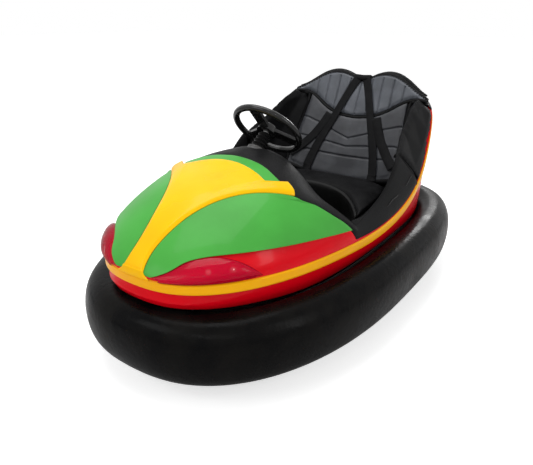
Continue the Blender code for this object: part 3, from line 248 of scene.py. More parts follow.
tube_rubber = surface(
    "tube_rubber", colour=(0.002, 0.002, 0.0023), shade=(0.005, 0.0046, 0.0042),
    roughness=0.20, change=0.16, scale=9.0, relief=cast_skin, grain=45.0, depth=0.0010,
    Specular_IOR_Level=0.045,
)
smooth_piece("rubber_tube", "bumper_tube", tube_rubber, sharp=60, edge_round=0)


# ---- Belt strip, bonnet panels and crest --------------------------------------------------------
# Yellow strip in the body's groove, green panels and a yellow crest laid over the red bonnet. Each
# is a painted moulding with a rounded edge, bonded on. The crest's foot runs on into the strip.

yellow_paint = surface(
    "yellow_gel_coat", colour=(0.96, 0.46, 0.001), shade=(0.93, 0.41, 0.001),
    roughness=0.28, change=0.04, scale=4.0, relief=orange_peel, grain=90.0, depth=0.0001,
    **gel_coat,
)
crest_paint = surface(
    "crest_yellow", colour=(0.96, 0.54, 0.001), shade=(0.92, 0.46, 0.001),
    roughness=0.26, change=0.04, scale=4.0, relief=orange_peel, grain=90.0, depth=0.0001,
    **gel_coat,
)
green_paint = surface(
    "green_gel_coat", colour=(0.065, 0.37, 0.055), shade=(0.055, 0.32, 0.045),
    roughness=0.30, change=0.05, scale=5.0, relief=orange_peel, grain=130.0, depth=0.00012,
    **gel_coat,
)
smooth_piece("yellow_belt", "belt_strip", yellow_paint)
for side in "lr":
    smooth_piece(f"green_panel_{side}", f"bonnet_panel_{side}", green_paint)
smooth_piece("green_crescent", "bonnet_crescent", green_paint)
smooth_piece("yellow_crest", "bonnet_crest", crest_paint)

# height, station of the middle and half-width of each row of the foot
foot_rows = (
    (0.444, -0.9005, 0.0450),
    (0.436, -0.9025, 0.0465),
    (0.427, -0.9045, 0.0540),
    (0.4165, -0.9062, 0.0760),
)
foot_thickness, foot_steps = 0.004, 6
nose_bend, nose_half, nose_power = 0.0066, 0.0847, 2.45


def foot_line(bm, row, depth):
    """Points across the crest's foot at one height, bent back at the sides as the nose is."""
    height, station, half = row
    line = []
    for k in range(-foot_steps, foot_steps + 1):
        x = half * k / foot_steps
        bend = nose_bend * abs(x / nose_half) ** nose_power
        line.append(bm.verts.new((x, station + depth + bend, height)))
    return line


def outline(rows):
    """Points round the outside of a grid of rows."""
    return (rows[0] + [row[-1] for row in rows[1:]] + rows[-1][-2::-1]
            + [row[0] for row in rows[-2:0:-1]])


bm = bmesh.new()
face_rows, back_rows = [
    [foot_line(bm, row, depth) for row in foot_rows] for depth in (0.0, foot_thickness)
]
for rows, turn in ((face_rows, 1), (back_rows, -1)):
    for one, two in zip(rows, rows[1:]):
        for a, b, c, d in zip(one, one[1:], two[1:], two):
            bm.faces.new((d, c, b, a)[::turn])
rim, rim_back = outline(face_rows), outline(back_rows)
for k in range(len(rim)):
    bm.faces.new((rim[k - 1], rim[k], rim_back[k], rim_back[k - 1]))
bmesh.ops.recalc_face_normals(bm, faces=bm.faces)
crest_foot = settle(piece_from(bm, "crest_foot"), crest_paint, "bonnet_crest")
finer = crest_foot.modifiers.new("finer", "SUBSURF")
finer.levels = finer.render_levels = 2


# ---- Lamps --------------------------------------------------------------------------------------
# Crimson lens low on each side of the nose, moulded in clear coloured plastic, with two small bulbs
# behind it.

def clear_plastic(name, colour, painted_rim_shade, see_through):
    """Coloured clear plastic: bright where it faces the eye, darker with painted shade at a slant.
    """
    made = bpy.data.materials.new(name)
    made.use_nodes = True
    tree = made.node_tree
    shader = tree.nodes["Principled BSDF"]
    # painted shade: the colour turns from the facing colour to the rim colour as the face turns
    # away from the eye
    slant = node_in(tree, "LayerWeight", {"Blend": 0.55})
    rim_shade_mix = node_in(tree, "Mix", data_type="RGBA")
    rim_shade_mix.inputs[6].default_value, rim_shade_mix.inputs[7].default_value = (*colour, 1), (*painted_rim_shade, 1)
    tree.links.new(slant.outputs["Facing"], rim_shade_mix.inputs[0])
    tree.links.new(rim_shade_mix.outputs[2], shader.inputs["Base Color"])
    told = {
        "Roughness": 0.06, "Alpha": 1 - see_through, "Coat Weight": 0.16, "Coat Roughness": 0.02,
        "Specular IOR Level": 0.05,
    }
    for key, value in told.items():
        shader.inputs[key].default_value = value
    return made


# the lens's dark rim colour is painted shade that rounds it
lens_red = clear_plastic(
    "lens_red", colour=(0.66, 0.0, 0.026), painted_rim_shade=(0.20, 0.0, 0.010), see_through=0.30
)
# real bulbs; their pale pink-white is also a painted highlight, which makes the bright pinkish
# spots in the lens
bulb_glass_with_painted_glint = clear_plastic(
    "bulb_glass_with_painted_glint", colour=(0.95, 0.42, 0.45), painted_rim_shade=(0.85, 0.30, 0.33), see_through=0.0
)
bulb_radius, bulb_places, bulb_reach = 0.011, (0.42, 0.66), 0.03
for side in "lr":
    node = f"lamp_lens_{side}"
    smooth_piece(node, node, lens_red)
    spots = np.array([v.co for v in cad[node].data.vertices])
    front, rear = spots[:, 1].min(), spots[:, 1].max()
    for count, share in enumerate(bulb_places):
        near = spots[abs(spots[:, 1] - (front + (rear - front) * share)) < bulb_reach]
        bm = bmesh.new()
        bmesh.ops.create_uvsphere(bm, u_segments=24, v_segments=12, radius=bulb_radius)
        bmesh.ops.translate(bm, verts=bm.verts, vec=near.mean(axis=0))
        settle(piece_from(bm, f"lamp_bulb_{side}{count}"), bulb_glass_with_painted_glint, node)


# ---- Coaming ------------------------------------------------------------------------------------
# Padded black rim round the cockpit: vinyl over foam, deep in front where it is the dashboard. It
# is glued over the edge of the body and runs on into the side wings.

black_vinyl = surface(
    "black_vinyl", colour=(0.004, 0.004, 0.0043), shade=(0.008, 0.008, 0.0085),
    roughness=0.40, change=0.12, scale=12.0, relief=vinyl_grain, grain=420.0, depth=0.00035,
    Specular_IOR_Level=0.06,
)
coaming_pad = smooth_piece("coaming_pad", "coaming", black_vinyl, sharp=50)


# ---- Footwell, bench and battery ----------------------------------------------------------------
# Black mouldings: tub for the feet, bench with a curved front lip, block of batteries below it, and
# the pleated boot at the foot of the steering column.

black_moulding = surface(
    "black_moulding", colour=(0.005, 0.005, 0.005), shade=(0.009, 0.009, 0.009),
    roughness=0.30, change=0.1, scale=8.0, relief=cast_skin, grain=160.0, depth=0.0003,
    Specular_IOR_Level=0.1,
)
mouldings = (
    ("footwell_moulding", "footwell_tub"), ("bench_moulding", "bench"),
    ("battery", "battery_block"), ("boot", "column_boot"),
)
for name, node in mouldings:
    smooth_piece(name, node, black_moulding, sharp=35)


# ---- Seat ---------------------------------------------------------------------------------------
# Foam pads under vinyl: cushion, lower back pad, arched upper pad with two humps, and side wings.
# They are sewn with flat seams and pleats, bound with rolls of vinyl and fixed to a red shell.

def smooth_value(rows, at, column=1):
    """Value at a place in a table of rows, by a monotone cubic through them."""
    if at <= rows[0][0]:
        return rows[0][column]
    if at >= rows[-1][0]:
        return rows[-1][column]
    k = max(i for i in range(len(rows) - 1) if rows[i][0] <= at)

    def slope(i):
        return (rows[i + 1][column] - rows[i][column]) / (rows[i + 1][0] - rows[i][0])

    def tangent(i):
        if i in (0, len(rows) - 1):
            return slope(min(i, len(rows) - 2))
        before, after = slope(i - 1), slope(i)
        return 0.0 if before * after <= 0 else 2 * before * after / (before + after)

    span = rows[k + 1][0] - rows[k][0]
    t = (at - rows[k][0]) / span
    return (
        (2 * t**3 - 3 * t**2 + 1) * rows[k][column] + (t**3 - 2 * t**2 + t) * span * tangent(k)
        + (-2 * t**3 + 3 * t**2) * rows[k + 1][column] + (t**3 - t**2) * span * tangent(k + 1)
    )


waist_y, tail_reach, belt_half = 0.050, 0.750, 0.448
# height share, station and z of the middle, inset from the belt's half-width, station and z of
# the edge
back_lines = (
    (-0.12, 0.497, 0.390, 0.040, 0.345, 0.500),
    (0.00, 0.531, 0.425, 0.040, 0.367, 0.525),
    (0.20, 0.583, 0.522, 0.040, 0.451, 0.555),
    (0.40, 0.640, 0.617, 0.048, 0.527, 0.597),
    (0.60, 0.700, 0.710, 0.060, 0.593, 0.650),
    (0.80, 0.760, 0.795, 0.075, 0.657, 0.722),
    (1.00, 0.805, 0.866, 0.073, 0.709, 0.804),
)
hump_rise, hump_end, hump_skew = 0.048, 0.85, 0.72
lean_back, lean_down = 0.86, 0.30


def seat_point(across, up, back=0.0):
    """Point on the backrest's face, moved back from it: across from -1 to 1, up from 0 to 1."""
    middle, middle_z, inset, edge, edge_z = [smooth_value(back_lines, up, c) for c in range(1, 6)]
    middle, edge = waist_y + middle * tail_reach, waist_y + edge * tail_reach
    wide = abs(across)
    over = min(wide / hump_end, 1.0)
    swell = math.sin(math.pi * over ** (hump_skew + (1 - hump_skew) * over)) ** 2
    hump = hump_rise * swell * max(up, 0.0) ** 4
    y = middle + (edge - middle) * wide**3 + back * lean_back
    z = middle_z + (edge_z - middle_z) * wide**3 + hump - back * lean_down
    return Vector((across * (belt_half - inset), y, z))


def evaluated_copy(made):
    """The piece's mesh with its modifiers worked in."""
    graph = bpy.context.evaluated_depsgraph_get()
    return bpy.data.meshes.new_from_object(made.evaluated_get(graph))


def positions(mesh):
    """The mesh's points as rows of an array."""
    found = np.empty(len(mesh.vertices) * 3)
    mesh.vertices.foreach_get("co", found)
    return found.reshape(-1, 3)


def stuffed(name, node, voxel, cap, shrink=0.002, pressure=4.0, last_frame=20):
    """A padded copy of a CAD node: a cover blown up by its filling in a short cloth simulation.
    voxel is the size of its grid's squares, cap how far a point may move."""
    made = piece_from(joined(node), name)
    grid = made.modifiers.new("even_grid", "REMESH")
    grid.mode, grid.voxel_size = "VOXEL", voxel
    soften = made.modifiers.new("soften", "SMOOTH")
    soften.iterations, soften.factor = 4, 0.5
    mesh = evaluated_copy(made)
    made.modifiers.clear()
    made.data = mesh
    start = positions(mesh)
    start = start - np.array([v.normal for v in mesh.vertices]) * shrink
    mesh.vertices.foreach_set("co", start.ravel())
    mesh.update()
    cloth = made.modifiers.new("filling", "CLOTH")
    cloth.settings.use_pressure = True
    cloth.settings.uniform_pressure_force = pressure
    cloth.settings.effector_weights.gravity = 0.0
    cloth.point_cache.frame_start, cloth.point_cache.frame_end = 1, last_frame
    for step in range(1, last_frame + 1):
        bpy.context.scene.frame_set(step)
    swollen = positions(evaluated_copy(made))
    made.modifiers.clear()
    bpy.context.scene.frame_set(1)
    moved = swollen - start
    far = np.linalg.norm(moved, axis=1)
    moved *= (np.minimum(far, cap) / np.maximum(far, 1e-9))[:, None]
    mesh.vertices.foreach_set("co", (start + moved).ravel())
    mesh.update()
    finer = made.modifiers.new("finer", "SUBSURF")
    finer.levels = finer.render_levels = 1
    fine = evaluated_copy(made)
    made.modifiers.clear()
    made.data = fine
    for face in fine.polygons:
        face.use_smooth = True
    return made


def line_tree(lines, step=0.002):
    """Search tree of points close together along lines of points."""
    dense = []
    for line in lines:
        for a, b in zip(line, line[1:]):
            count = max(int((b - a).length / step), 1)
            dense += [a.lerp(b, i / count) for i in range(count)]
        dense.append(line[-1])
    tree = KDTree(len(dense))
    for i, point in enumerate(dense):
        tree.insert(point, i)
    tree.balance()
    return tree


def face_tree(mesh):
    """Search tree of a mesh's faces."""
    bm = bmesh.new()
    bm.from_mesh(mesh)
    tree = BVHTree.FromBMesh(bm)
    bm.free()
    return tree


def give_way(made, node, reach=0.0065, share=0.6):
    """Lets a padded piece sink under the strap that lies on it."""
    strap_faces = face_tree(cad[node].data)
    mesh = made.data
    normals = [v.normal.copy() for v in mesh.vertices]
    for vertex, normal in zip(mesh.vertices, normals):
        away = strap_faces.find_nearest(vertex.co, reach)[3]
        if away is not None:
            vertex.co -= normal * (reach - away) * share
    mesh.update()


def sew(made, lines, depth, width):
    """Presses sewn seams into a padded piece, along lines that are first laid on its face."""
    mesh = made.data
    faces = face_tree(mesh)
    tree = line_tree([[faces.find_nearest(point)[0] for point in line] for line in lines])
    normals = [v.normal.copy() for v in mesh.vertices]
    for vertex, normal in zip(mesh.vertices, normals):
        away = tree.find(vertex.co)[2]
        if away < 3 * width:
            vertex.co -= normal * depth * math.exp(-(away / width) ** 2)
    mesh.update()


def seat_line(*places, back=0.0, count=6):
    """Line of points on the backrest's face through places given as share across and share up."""
    line = []
    for (a, u), (c, w) in zip(places, places[1:]):
        for i in range(count):
            line.append(seat_point(a + (c - a) * i / count, u + (w - u) * i / count, back))
    return line + [seat_point(*places[-1], back)]


grey_vinyl = surface(
    "grey_vinyl", colour=(0.042, 0.044, 0.050), shade=(0.025, 0.026, 0.030),
    roughness=0.36, change=0.12, scale=10.0, relief=vinyl_grain, grain=420.0, depth=0.0003,
    Specular_IOR_Level=0.25,
)
upper_vinyl = surface(
    "upper_vinyl", colour=(0.088, 0.095, 0.110), shade=(0.058, 0.063, 0.073),
    roughness=0.34, change=0.1, scale=10.0, relief=vinyl_grain, grain=420.0, depth=0.0003,
    Specular_IOR_Level=0.25,
)

# the arched seam between the two back pads, as share across and share up
arc_line = (
    (0.00, 0.560), (0.20, 0.570), (0.40, 0.630), (0.57, 0.730), (0.73, 0.850), (0.84, 0.920),
    (0.95, 0.955),
)
back_swell = 0.0038
upper = stuffed("upper_back_pad", "backrest_upper", voxel=0.005, cap=back_swell)
for side in "lr":
    give_way(upper, f"shoulder_belt_{side}")
pleat_step, pleat_gap, pleat_top = 0.155, 0.01, 0.93
pleats = []
for k in range(-4, 5):
    foot = smooth_value(arc_line, abs(pleat_step * k)) + pleat_gap
    pleats.append(seat_line((pleat_step * k, foot), (pleat_step * k, pleat_top)))
sew(upper, pleats, depth=0.0075, width=0.0032)
rim_band, rim_depth, pad_depth = 0.952, 0.7, 0.045
rim_line = seat_line(*[(0.06 * k, rim_band) for k in range(-15, 16)], count=3)
sew(upper, [rim_line], depth=0.003, width=0.003)
settle(upper, [upper_vinyl, black_vinyl], "backrest_upper")
place_of = [
    (-0.96 + 0.032 * i, 0.5 + j / 60, deep)
    for i in range(61) for j in range(31) for deep in (0.0, 0.5, 1.0)
]
face_places = KDTree(len(place_of))
for number, (across, up, deep) in enumerate(place_of):
    face_places.insert(seat_point(across, up, deep * pad_depth), number)
face_places.balance()
for face in upper.data.polygons:
    across, up, deep = place_of[face_places.find(face.center)[1]]
    face.material_index = int(up > rim_band or deep > rim_depth)
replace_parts(upper, "backrest_upper")

lower = stuffed("lower_back_pad", "backrest_lower", voxel=0.0055, cap=back_swell)
for side in "lr":
    give_way(lower, f"shoulder_belt_{side}")
low_seams = [
    seat_line((s * 0.70, 0.56), (s * 0.52, 0.49), (s * 0.35, 0.44), (s * 0.20, 0.39), (0, 0.34))
    for s in (-1, 1)
]
low_seams += [
    seat_line((-0.70, 0.34), (-0.40, 0.30), (0, 0.26), (0.40, 0.30), (0.70, 0.34)),
    seat_line((-0.60, 0.19), (-0.30, 0.175), (0, 0.17), (0.30, 0.175), (0.60, 0.19)),
]
sew(lower, low_seams, depth=0.006, width=0.0045)
settle(lower, grey_vinyl, "backrest_lower")
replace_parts(lower, "backrest_lower")


def piping(name, points, node, look, radius, radii=None, resolution=3):
    """Round vinyl welt along a line of points, with closed ends, sewn into a seam. radii makes it
    thicker and thinner on its way."""
    curve = bpy.data.curves.new(name, "CURVE")
    curve.dimensions, curve.use_fill_caps = "3D", True
    curve.bevel_depth, curve.bevel_resolution = radius, resolution
    line = curve.splines.new("POLY")
    line.points.add(len(points) - 1)
    for k, (at, point) in enumerate(zip(line.points, points)):
        at.co = (*point, 1)
        at.radius = radii[k] if radii else 1.0
    line.use_smooth = True
    drawn = linked(name, curve)
    mesh = evaluated_copy(drawn)
    bpy.data.objects.remove(drawn)
    for face in mesh.polygons:
        face.use_smooth = True
    return settle(linked(name, mesh), look, node)


def draped_line(node, points, off, step=0.012):
    """Line of points on a CAD node's face, each at the nearest place to a line drawn near it."""
    faces = face_tree(cad[node].data)
    laid = []
    for a, b in zip(points, points[1:]):
        a, b = Vector(a), Vector(b)
        count = max(int((b - a).length / step), 1)
        for k in range(count + (b == Vector(points[-1]))):
            place, normal = faces.find_nearest(a.lerp(b, k / count))[:2]
            laid.append(place + normal * off)
    return laid


wheel_grip = surface(
    "wheel_grip", colour=(0.005, 0.005, 0.005), shade=(0.010, 0.010, 0.010),
    roughness=0.20, change=0.08, scale=14.0, relief=cast_skin, grain=300.0, depth=0.0002,
    Specular_IOR_Level=0.18, Coat_Weight=0.25, Coat_Roughness=0.05,
)
# the coaming's crease, as station and height
crease_x = 0.43
crease = (
    (-0.10, 0.428), (-0.015, 0.441), (0.081, 0.472), (0.183, 0.483), (0.232, 0.506), (0.282, 0.529),
)
for side, letter in ((1, "l"), (-1, "r")):
    line = draped_line("coaming", [(side * crease_x, y, z) for y, z in crease], off=0.0004)
    piping(f"coaming_welt_{letter}", line, "coaming", wheel_grip, radius=0.0016)

# rolls behind the seams of the lower pad, so that nothing shows between the pads
arc_places = [(a, smooth_value(arc_line, abs(a))) for a in np.linspace(-0.95, 0.95, 39)]
arc = [seat_point(a, u - 0.008, back=0.009) for a, u in arc_places]
piping("arc_roll", arc, "backrest_lower", black_vinyl, radius=0.009)
ups = np.linspace(-0.05, 0.84, 25)
for side, letter in ((-1, "r"), (1, "l")):
    upright = [
        seat_point(side * (0.716 + 0.09 * max(u - 0.6, 0)), u, back=0.010) for u in ups
    ]
    piping(f"side_welt_{letter}", upright, "backrest_lower", black_vinyl, radius=0.008)
foot = [seat_point(a, -0.035, back=0.014) for a in np.linspace(-0.70, 0.70, 29)]
piping("foot_roll", foot, "backrest_lower", black_vinyl, radius=0.013)

# the rim's roll over each hump, thick in the middle, and a short one at each shoulder
roll_thin, roll_swell = 0.004, 0.013
places = [0.03 + 0.87 * k / 30 for k in range(31)]
radii = [
    roll_thin + roll_swell * math.sin(math.pi * min(max((a - 0.10) / 0.80, 0), 1)) ** 1.2
    for a in places
]
shoulder = ((0.75, 0.84, 0.012), (0.83, 0.89, 0.018), (0.93, 0.94, 0.024))
for side, letter in ((-1, "r"), (1, "l")):
    middles = []
    for a, radius in zip(places, radii):
        outward, lower_by = side * 0.010 * math.sin(math.pi * a), 1.1 * radius - 0.003
        middles.append(seat_point(side * a, 1.0, 0.022) + Vector((outward, 0, -lower_by)))
    piping(
        f"rim_roll_{letter}", middles, "backrest_upper", black_vinyl, radius=1.0, radii=radii,
        resolution=5,
    )
    corner = [seat_point(side * a, u, b) for a, u, b in shoulder]
    piping(f"shoulder_roll_{letter}", corner, "backrest_upper", black_vinyl, radius=0.012)

# the shell behind the pads: vinyl is drawn over its top, and its inner side is black
wrap_reach, shoulder_y, shoulder_z, inner_half = 0.040, 0.69, 0.755, 0.40
shell = smooth_piece("seat_back_moulding", "seat_shell", red_paint)
shell_mesh = evaluated_copy(shell)
shell.modifiers.clear()
shell.data = shell_mesh
shell_mesh.materials.append(black_vinyl)
rim_tree = line_tree([[seat_point(0.05 * k, 1.0, 0.05) for k in range(-20, 21)]])
for face in shell_mesh.polygons:
    x, y, z = face.center
    wrapped = rim_tree.find(face.center)[2] < wrap_reach or (y < shoulder_y and z > shoulder_z)
    inner = face.normal.y < -0.3 and abs(x) < inner_half
    face.material_index = int(wrapped or inner)

cushion = stuffed("seat_pad", "seat_cushion", voxel=0.006, cap=0.006)
settle(cushion, black_vinyl, "seat_cushion")
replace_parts(cushion, "seat_cushion")

for side in "lr":
    wing = stuffed(f"side_wing_{side}", f"bolster_{side}", voxel=0.006, cap=0.005)
    settle(wing, black_vinyl, f"bolster_{side}")
    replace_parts(wing, f"bolster_{side}")

# roll in the seam between each wing and the coaming
wing_seam = (
    (0.377, 0.203, 0.616), (0.384, 0.197, 0.6255), (0.390, 0.1975, 0.632),
    (0.4225, 0.295, 0.537), (0.4325, 0.331, 0.487), (0.431, 0.334, 0.470),
)
for side, letter in ((1, "l"), (-1, "r")):
    seam = [Vector((side * x, y, z)) for x, y, z in wing_seam]
    piping(f"wing_seam_{letter}", seam, f"bolster_{letter}", black_vinyl, radius=0.0065)


# ---- Shoulder belts -----------------------------------------------------------------------------
# Black woven webbing from the notch between the humps down over each half of the backrest, with a
# side strand and a tail that go into the seams. It is laid flat and fixed at both ends.

webbing = surface(
    "black_webbing", colour=(0.005, 0.005, 0.0055), shade=(0.009, 0.009, 0.0095),
    roughness=0.6, change=0.1, scale=30.0, relief=cast_skin, grain=900.0, depth=0.0004,
    Specular_IOR_Level=0.06,
)
for side in "lr":
    smooth_piece(
        f"belt_webbing_{side}", f"shoulder_belt_{side}", webbing, sharp=60, edge_round=0.0006
    )


def strap(name, points, node, outs=None, width=0.045, thickness=0.0026):
    """Flat strap along a line of points, with its face turned outwards from what it lies on."""
    bm = bmesh.new()
    rows = []
    # outline of its section, as shares of the width and of the thickness
    ring = [(-0.5, 0), (-0.49, 0.5), (-0.46, 1), (0.46, 1), (0.49, 0.5), (0.5, 0), (0, -0.1)]
    for k, point in enumerate(points):
        ahead = points[min(k + 1, len(points) - 1)] - points[max(k - 1, 0)]
        out = outs[k] if outs else Vector((0.0, -0.86, 0.50))
        sideways = ahead.cross(out).normalized()
        out = sideways.cross(ahead).normalized()
        rows.append([
            bm.verts.new(point + sideways * a * width + out * b * thickness) for a, b in ring
        ])
    for one, two in zip(rows, rows[1:]):
        for k in range(len(one)):
            bm.faces.new((one[k], one[k - 1], two[k - 1], two[k]))
    bm.faces.new(rows[0])
    bm.faces.new(rows[-1][::-1])
    bmesh.ops.recalc_face_normals(bm, faces=bm.faces)
    return settle(piece_from(bm, name), webbing, node)


# share across and share up
strand_places = ((0.325, 0.56), (0.385, 0.45), (0.46, 0.34), (0.57, 0.22), (0.69, 0.11))
tail_places = ((0.438, 0.04), (0.441, 0.0), (0.443, -0.045))
# share across, share up, how far back, how much higher, and the way the face turns
over_places = (
    (0.060, 0.96, -0.0100, 0.000, (-0.86, 0.50)),
    (0.054, 0.99, -0.0095, 0.003, (-0.8, 0.6)),
    (0.050, 1.0, -0.0040, 0.008, (-0.5, 0.87)),
    (0.048, 1.0, 0.0150, 0.010, (0, 1)),
    (0.046, 1.0, 0.0400, 0.008, (0.3, 0.95)),
    (0.044, 1.0, 0.0560, 0.001, (0.7, 0.7)),
    (0.044, 0.97, 0.0600, -0.004, (0.95, 0.3)),
    (0.044, 0.90, 0.0600, -0.004, (0.97, 0.2)),
)
for side, letter in ((1, "l"), (-1, "r")):
    node = f"shoulder_belt_{letter}"
    strand = seat_line(*[(side * a, u) for a, u in strand_places], back=-0.0085)
    strap(f"lap_strand_{letter}", strand, node)
    tail = seat_line(*[(side * a, u) for a, u in tail_places], back=-0.0093)
    strap(f"belt_tail_{letter}", tail, node)
    over = [seat_point(side * a, u, b) + Vector((0, 0, z)) for a, u, b, z, _ in over_places]
    strap(f"belt_over_{letter}", over, node, [Vector((0, *turn)) for *_, turn in over_places])


# ---- Steering wheel -----------------------------------------------------------------------------
# Moulded black rim, spokes and hub, hard and shiny from hands. It is fixed on the plated column,
# which turns in its bearing and carries the turn down to the drive unit.

smooth_piece("steering_ring", "steering_wheel", wheel_grip, sharp=45)


# ---- Running gear -------------------------------------------------------------------------------
# Steel pan, rails, axle, swivelling drive fork with its motor, and three rubber-tyred wheels. The
# steel parts are cut, bent and welded, then painted or plated, and bolted to the pan.

dark_steel = surface(
    "dark_steel", colour=(0.04, 0.042, 0.045), shade=(0.05, 0.046, 0.042),
    roughness=0.45, change=0.2, scale=14.0, relief=cast_skin, grain=200.0, depth=0.0003,
)
plated_steel = surface(
    "plated_steel", colour=(0.52, 0.53, 0.54), shade=(0.44, 0.44, 0.43),
    roughness=0.28, change=0.2, scale=18.0, Metallic=1.0,
)
tyre_rubber = surface(
    "tyre_rubber", colour=(0.02, 0.02, 0.02), shade=(0.04, 0.038, 0.035),
    roughness=0.75, change=0.15, scale=25.0, relief=cast_skin, grain=300.0, depth=0.0004,
)


def carry(node, look, bevel=0.0008):
    """Keeps a CAD node as it is, with small rounded edges and its material."""
    made = cad[node]
    made.data.materials.clear()
    made.data.materials.append(look)
    edge = made.modifiers.new("rounded_edges", "BEVEL")
    edge.width, edge.segments = bevel, 2
    edge.limit_method, edge.angle_limit = "ANGLE", math.radians(40)


carried = {
    ("floor_pan", "frame", "bumper_band", "column_bearing"): dark_steel,
    ("drive_fork", "drive_motor"): dark_steel,
    ("rear_axle", "drive_ring", "pedal", "steering_column"): plated_steel,
    ("drive_wheel_hub", "rear_wheel_l_hub", "rear_wheel_r_hub"): plated_steel,
    ("drive_wheel_tyre", "rear_wheel_l_tyre", "rear_wheel_r_tyre"): tyre_rubber,
}
for nodes, look in carried.items():
    for node in nodes:
        carry(node, look)


def stud(bm, place, axis, radius, height, sides=6):
    """Adds a small nut or screw head, standing on a place along an axis."""
    turn = Vector(axis).to_track_quat("Z", "Y").to_matrix().to_4x4()
    made = bmesh.ops.create_cone(
        bm, cap_ends=True, segments=sides, radius1=radius, radius2=radius * 0.9, depth=height
    )
    where = Matrix.Translation(Vector(place) + Vector(axis) * height * 0.45) @ turn
    bmesh.ops.transform(bm, matrix=where, verts=made["verts"])


nut_circle, nut_count = 0.036, 5
for wheel, out in (("rear_wheel_l", 1), ("rear_wheel_r", -1), ("drive_wheel", 1)):
    low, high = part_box(f"{wheel}_hub")
    middle = (low + high) / 2
    face_x = high.x if out > 0 else low.x
    bm = bmesh.new()
    for k in range(nut_count):
        angle = 2 * math.pi * k / nut_count
        y, z = middle.y + nut_circle * math.cos(angle), middle.z + nut_circle * math.sin(angle)
        stud(bm, (face_x, y, z), (out, 0, 0), radius=0.006, height=0.005)
    settle(piece_from(bm, f"{wheel}_nuts", smooth=False), plated_steel, f"{wheel}_hub")

rail_screw_x, rail_screw_y, rail_screw_step, pan_bottom = 0.345, -0.50, 0.125, 0.125
drive_y, ring_circle, ring_top, ring_count = -0.45, 0.148, 0.1364, 12
bm = bmesh.new()
for side in (-1, 1):
    for k in range(9):
        y = rail_screw_y + rail_screw_step * k
        place = (side * rail_screw_x, y, pan_bottom)
        stud(bm, place, (0, 0, -1), radius=0.007, height=0.003, sides=12)
for k in range(ring_count):
    angle = 2 * math.pi * k / ring_count
    x, y = ring_circle * math.cos(angle), drive_y + ring_circle * math.sin(angle)
    stud(bm, (x, y, ring_top), (0, 0, 1), radius=0.005, height=0.003)
settle(piece_from(bm, "pan_screws", smooth=False), plated_steel, "floor_pan")


# ---- Floor, light and camera --------------------------------------------------------------------
# Plain pale floor that is clear from below, white backdrop, soft studio lamps from above and from
# the left, three small ones for glints, and the photo's point of view.

floor_look = bpy.data.materials.new("pale_floor")
floor_look.use_nodes = True
floor_tree = floor_look.node_tree
floor_paint = floor_tree.nodes["Principled BSDF"]
floor_paint.inputs["Base Color"].default_value = (0.86, 0.86, 0.86, 1)
floor_paint.inputs["Roughness"].default_value = 0.9
floor_paint.inputs["Specular IOR Level"].default_value = 0.1
lift = node_in(floor_tree, "Math", operation="MULTIPLY")
lift.inputs[1].default_value = 0.60
lift_white = node_in(floor_tree, "Emission", {"Color": (1, 1, 1, 1)})
floor_path = node_in(floor_tree, "LightPath")
floor_add = node_in(floor_tree, "AddShader")
floor_clear = node_in(floor_tree, "BsdfTransparent")
floor_facing = node_in(floor_tree, "NewGeometry")
floor_side = node_in(floor_tree, "MixShader")
join = floor_tree.links.new
join(floor_path.outputs["Is Camera Ray"], lift.inputs[0])
join(lift.outputs[0], lift_white.inputs["Strength"])
join(floor_paint.outputs[0], floor_add.inputs[0])
join(lift_white.outputs[0], floor_add.inputs[1])
join(floor_facing.outputs["Backfacing"], floor_side.inputs[0])
join(floor_add.outputs[0], floor_side.inputs[1])
join(floor_clear.outputs[0], floor_side.inputs[2])
join(floor_side.outputs[0], floor_tree.nodes["Material Output"].inputs["Surface"])
bm = bmesh.new()
bmesh.ops.create_grid(bm, x_segments=1, y_segments=1, size=30)
floor = piece_from(bm, "floor", smooth=False)
floor.data.materials.append(floor_look)

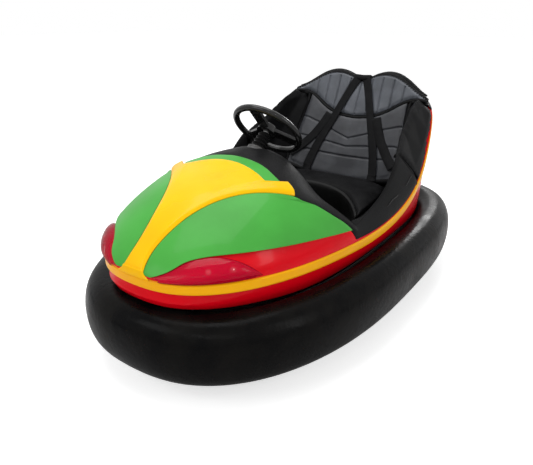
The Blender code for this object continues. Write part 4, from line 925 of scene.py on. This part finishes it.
world = bpy.data.worlds.new("studio")
bpy.context.scene.world = world
world.use_nodes = True
tree = world.node_tree
backdrop = tree.nodes["Background"]
backdrop.inputs["Color"].default_value = (1, 1, 1, 1)
backdrop.inputs["Strength"].default_value = 0.45
white = node_in(tree, "Background", {"Color": (1, 1, 1, 1), "Strength": 1.0})
path = node_in(tree, "LightPath")
seen = node_in(tree, "Math", operation="MAXIMUM")
either = node_in(tree, "Math", operation="MAXIMUM")
mix = node_in(tree, "MixShader")
join = tree.links.new
join(path.outputs["Is Camera Ray"], seen.inputs[0])
join(path.outputs["Is Transmission Ray"], seen.inputs[1])
join(seen.outputs[0], either.inputs[0])
join(path.outputs["Is Glossy Ray"], either.inputs[1])
join(either.outputs[0], mix.inputs[0])
join(backdrop.outputs[0], mix.inputs[1])
join(white.outputs[0], mix.inputs[2])
join(mix.outputs[0], tree.nodes["World Output"].inputs["Surface"])


def lamp(name, place, aim, size, power):
    """A soft rectangular light at a place, turned to a point."""
    light = bpy.data.lights.new(name, "AREA")
    light.shape, light.size, light.size_y, light.energy = "RECTANGLE", size[0], size[1], power
    made = linked(name, light)
    made.location = place
    made.rotation_euler = (Vector(aim) - Vector(place)).to_track_quat("-Z", "Y").to_euler()
    made.visible_camera = False


lamp("top_light", place=(-0.6, -0.2, 3.8), aim=(0, 0, 0.4), size=(2.6, 2.6), power=92)
lamp("front_light", place=(-1.2, -3.6, 2.8), aim=(0, 0, 0.4), size=(2.4, 1.6), power=36)
lamp("side_light", place=(3.2, -0.4, 1.8), aim=(0, 0, 0.4), size=(0.5, 1.8), power=20)
lamp("back_light", place=(-0.3, 3.4, 1.7), aim=(0.3, 0.5, 0.3), size=(0.9, 0.5), power=20)
for number, place in enumerate(((0.9, -3.2, 2.0), (1.6, -3.0, 1.9), (2.2, -2.6, 1.9))):
    lamp(f"small_light_{number}", place, aim=(0, -0.7, 0.4), size=(0.12, 0.08), power=3)

camera = linked("camera", bpy.data.cameras.new("camera"))
camera.location = (1.19, -1.87, 1.165)
camera.rotation_euler = (math.radians(67.7), 0, math.radians(35.2))
camera.data.lens, camera.data.sensor_width = 36.07, 36
bpy.context.scene.camera = camera
bpy.context.scene.view_settings.view_transform = "Standard"
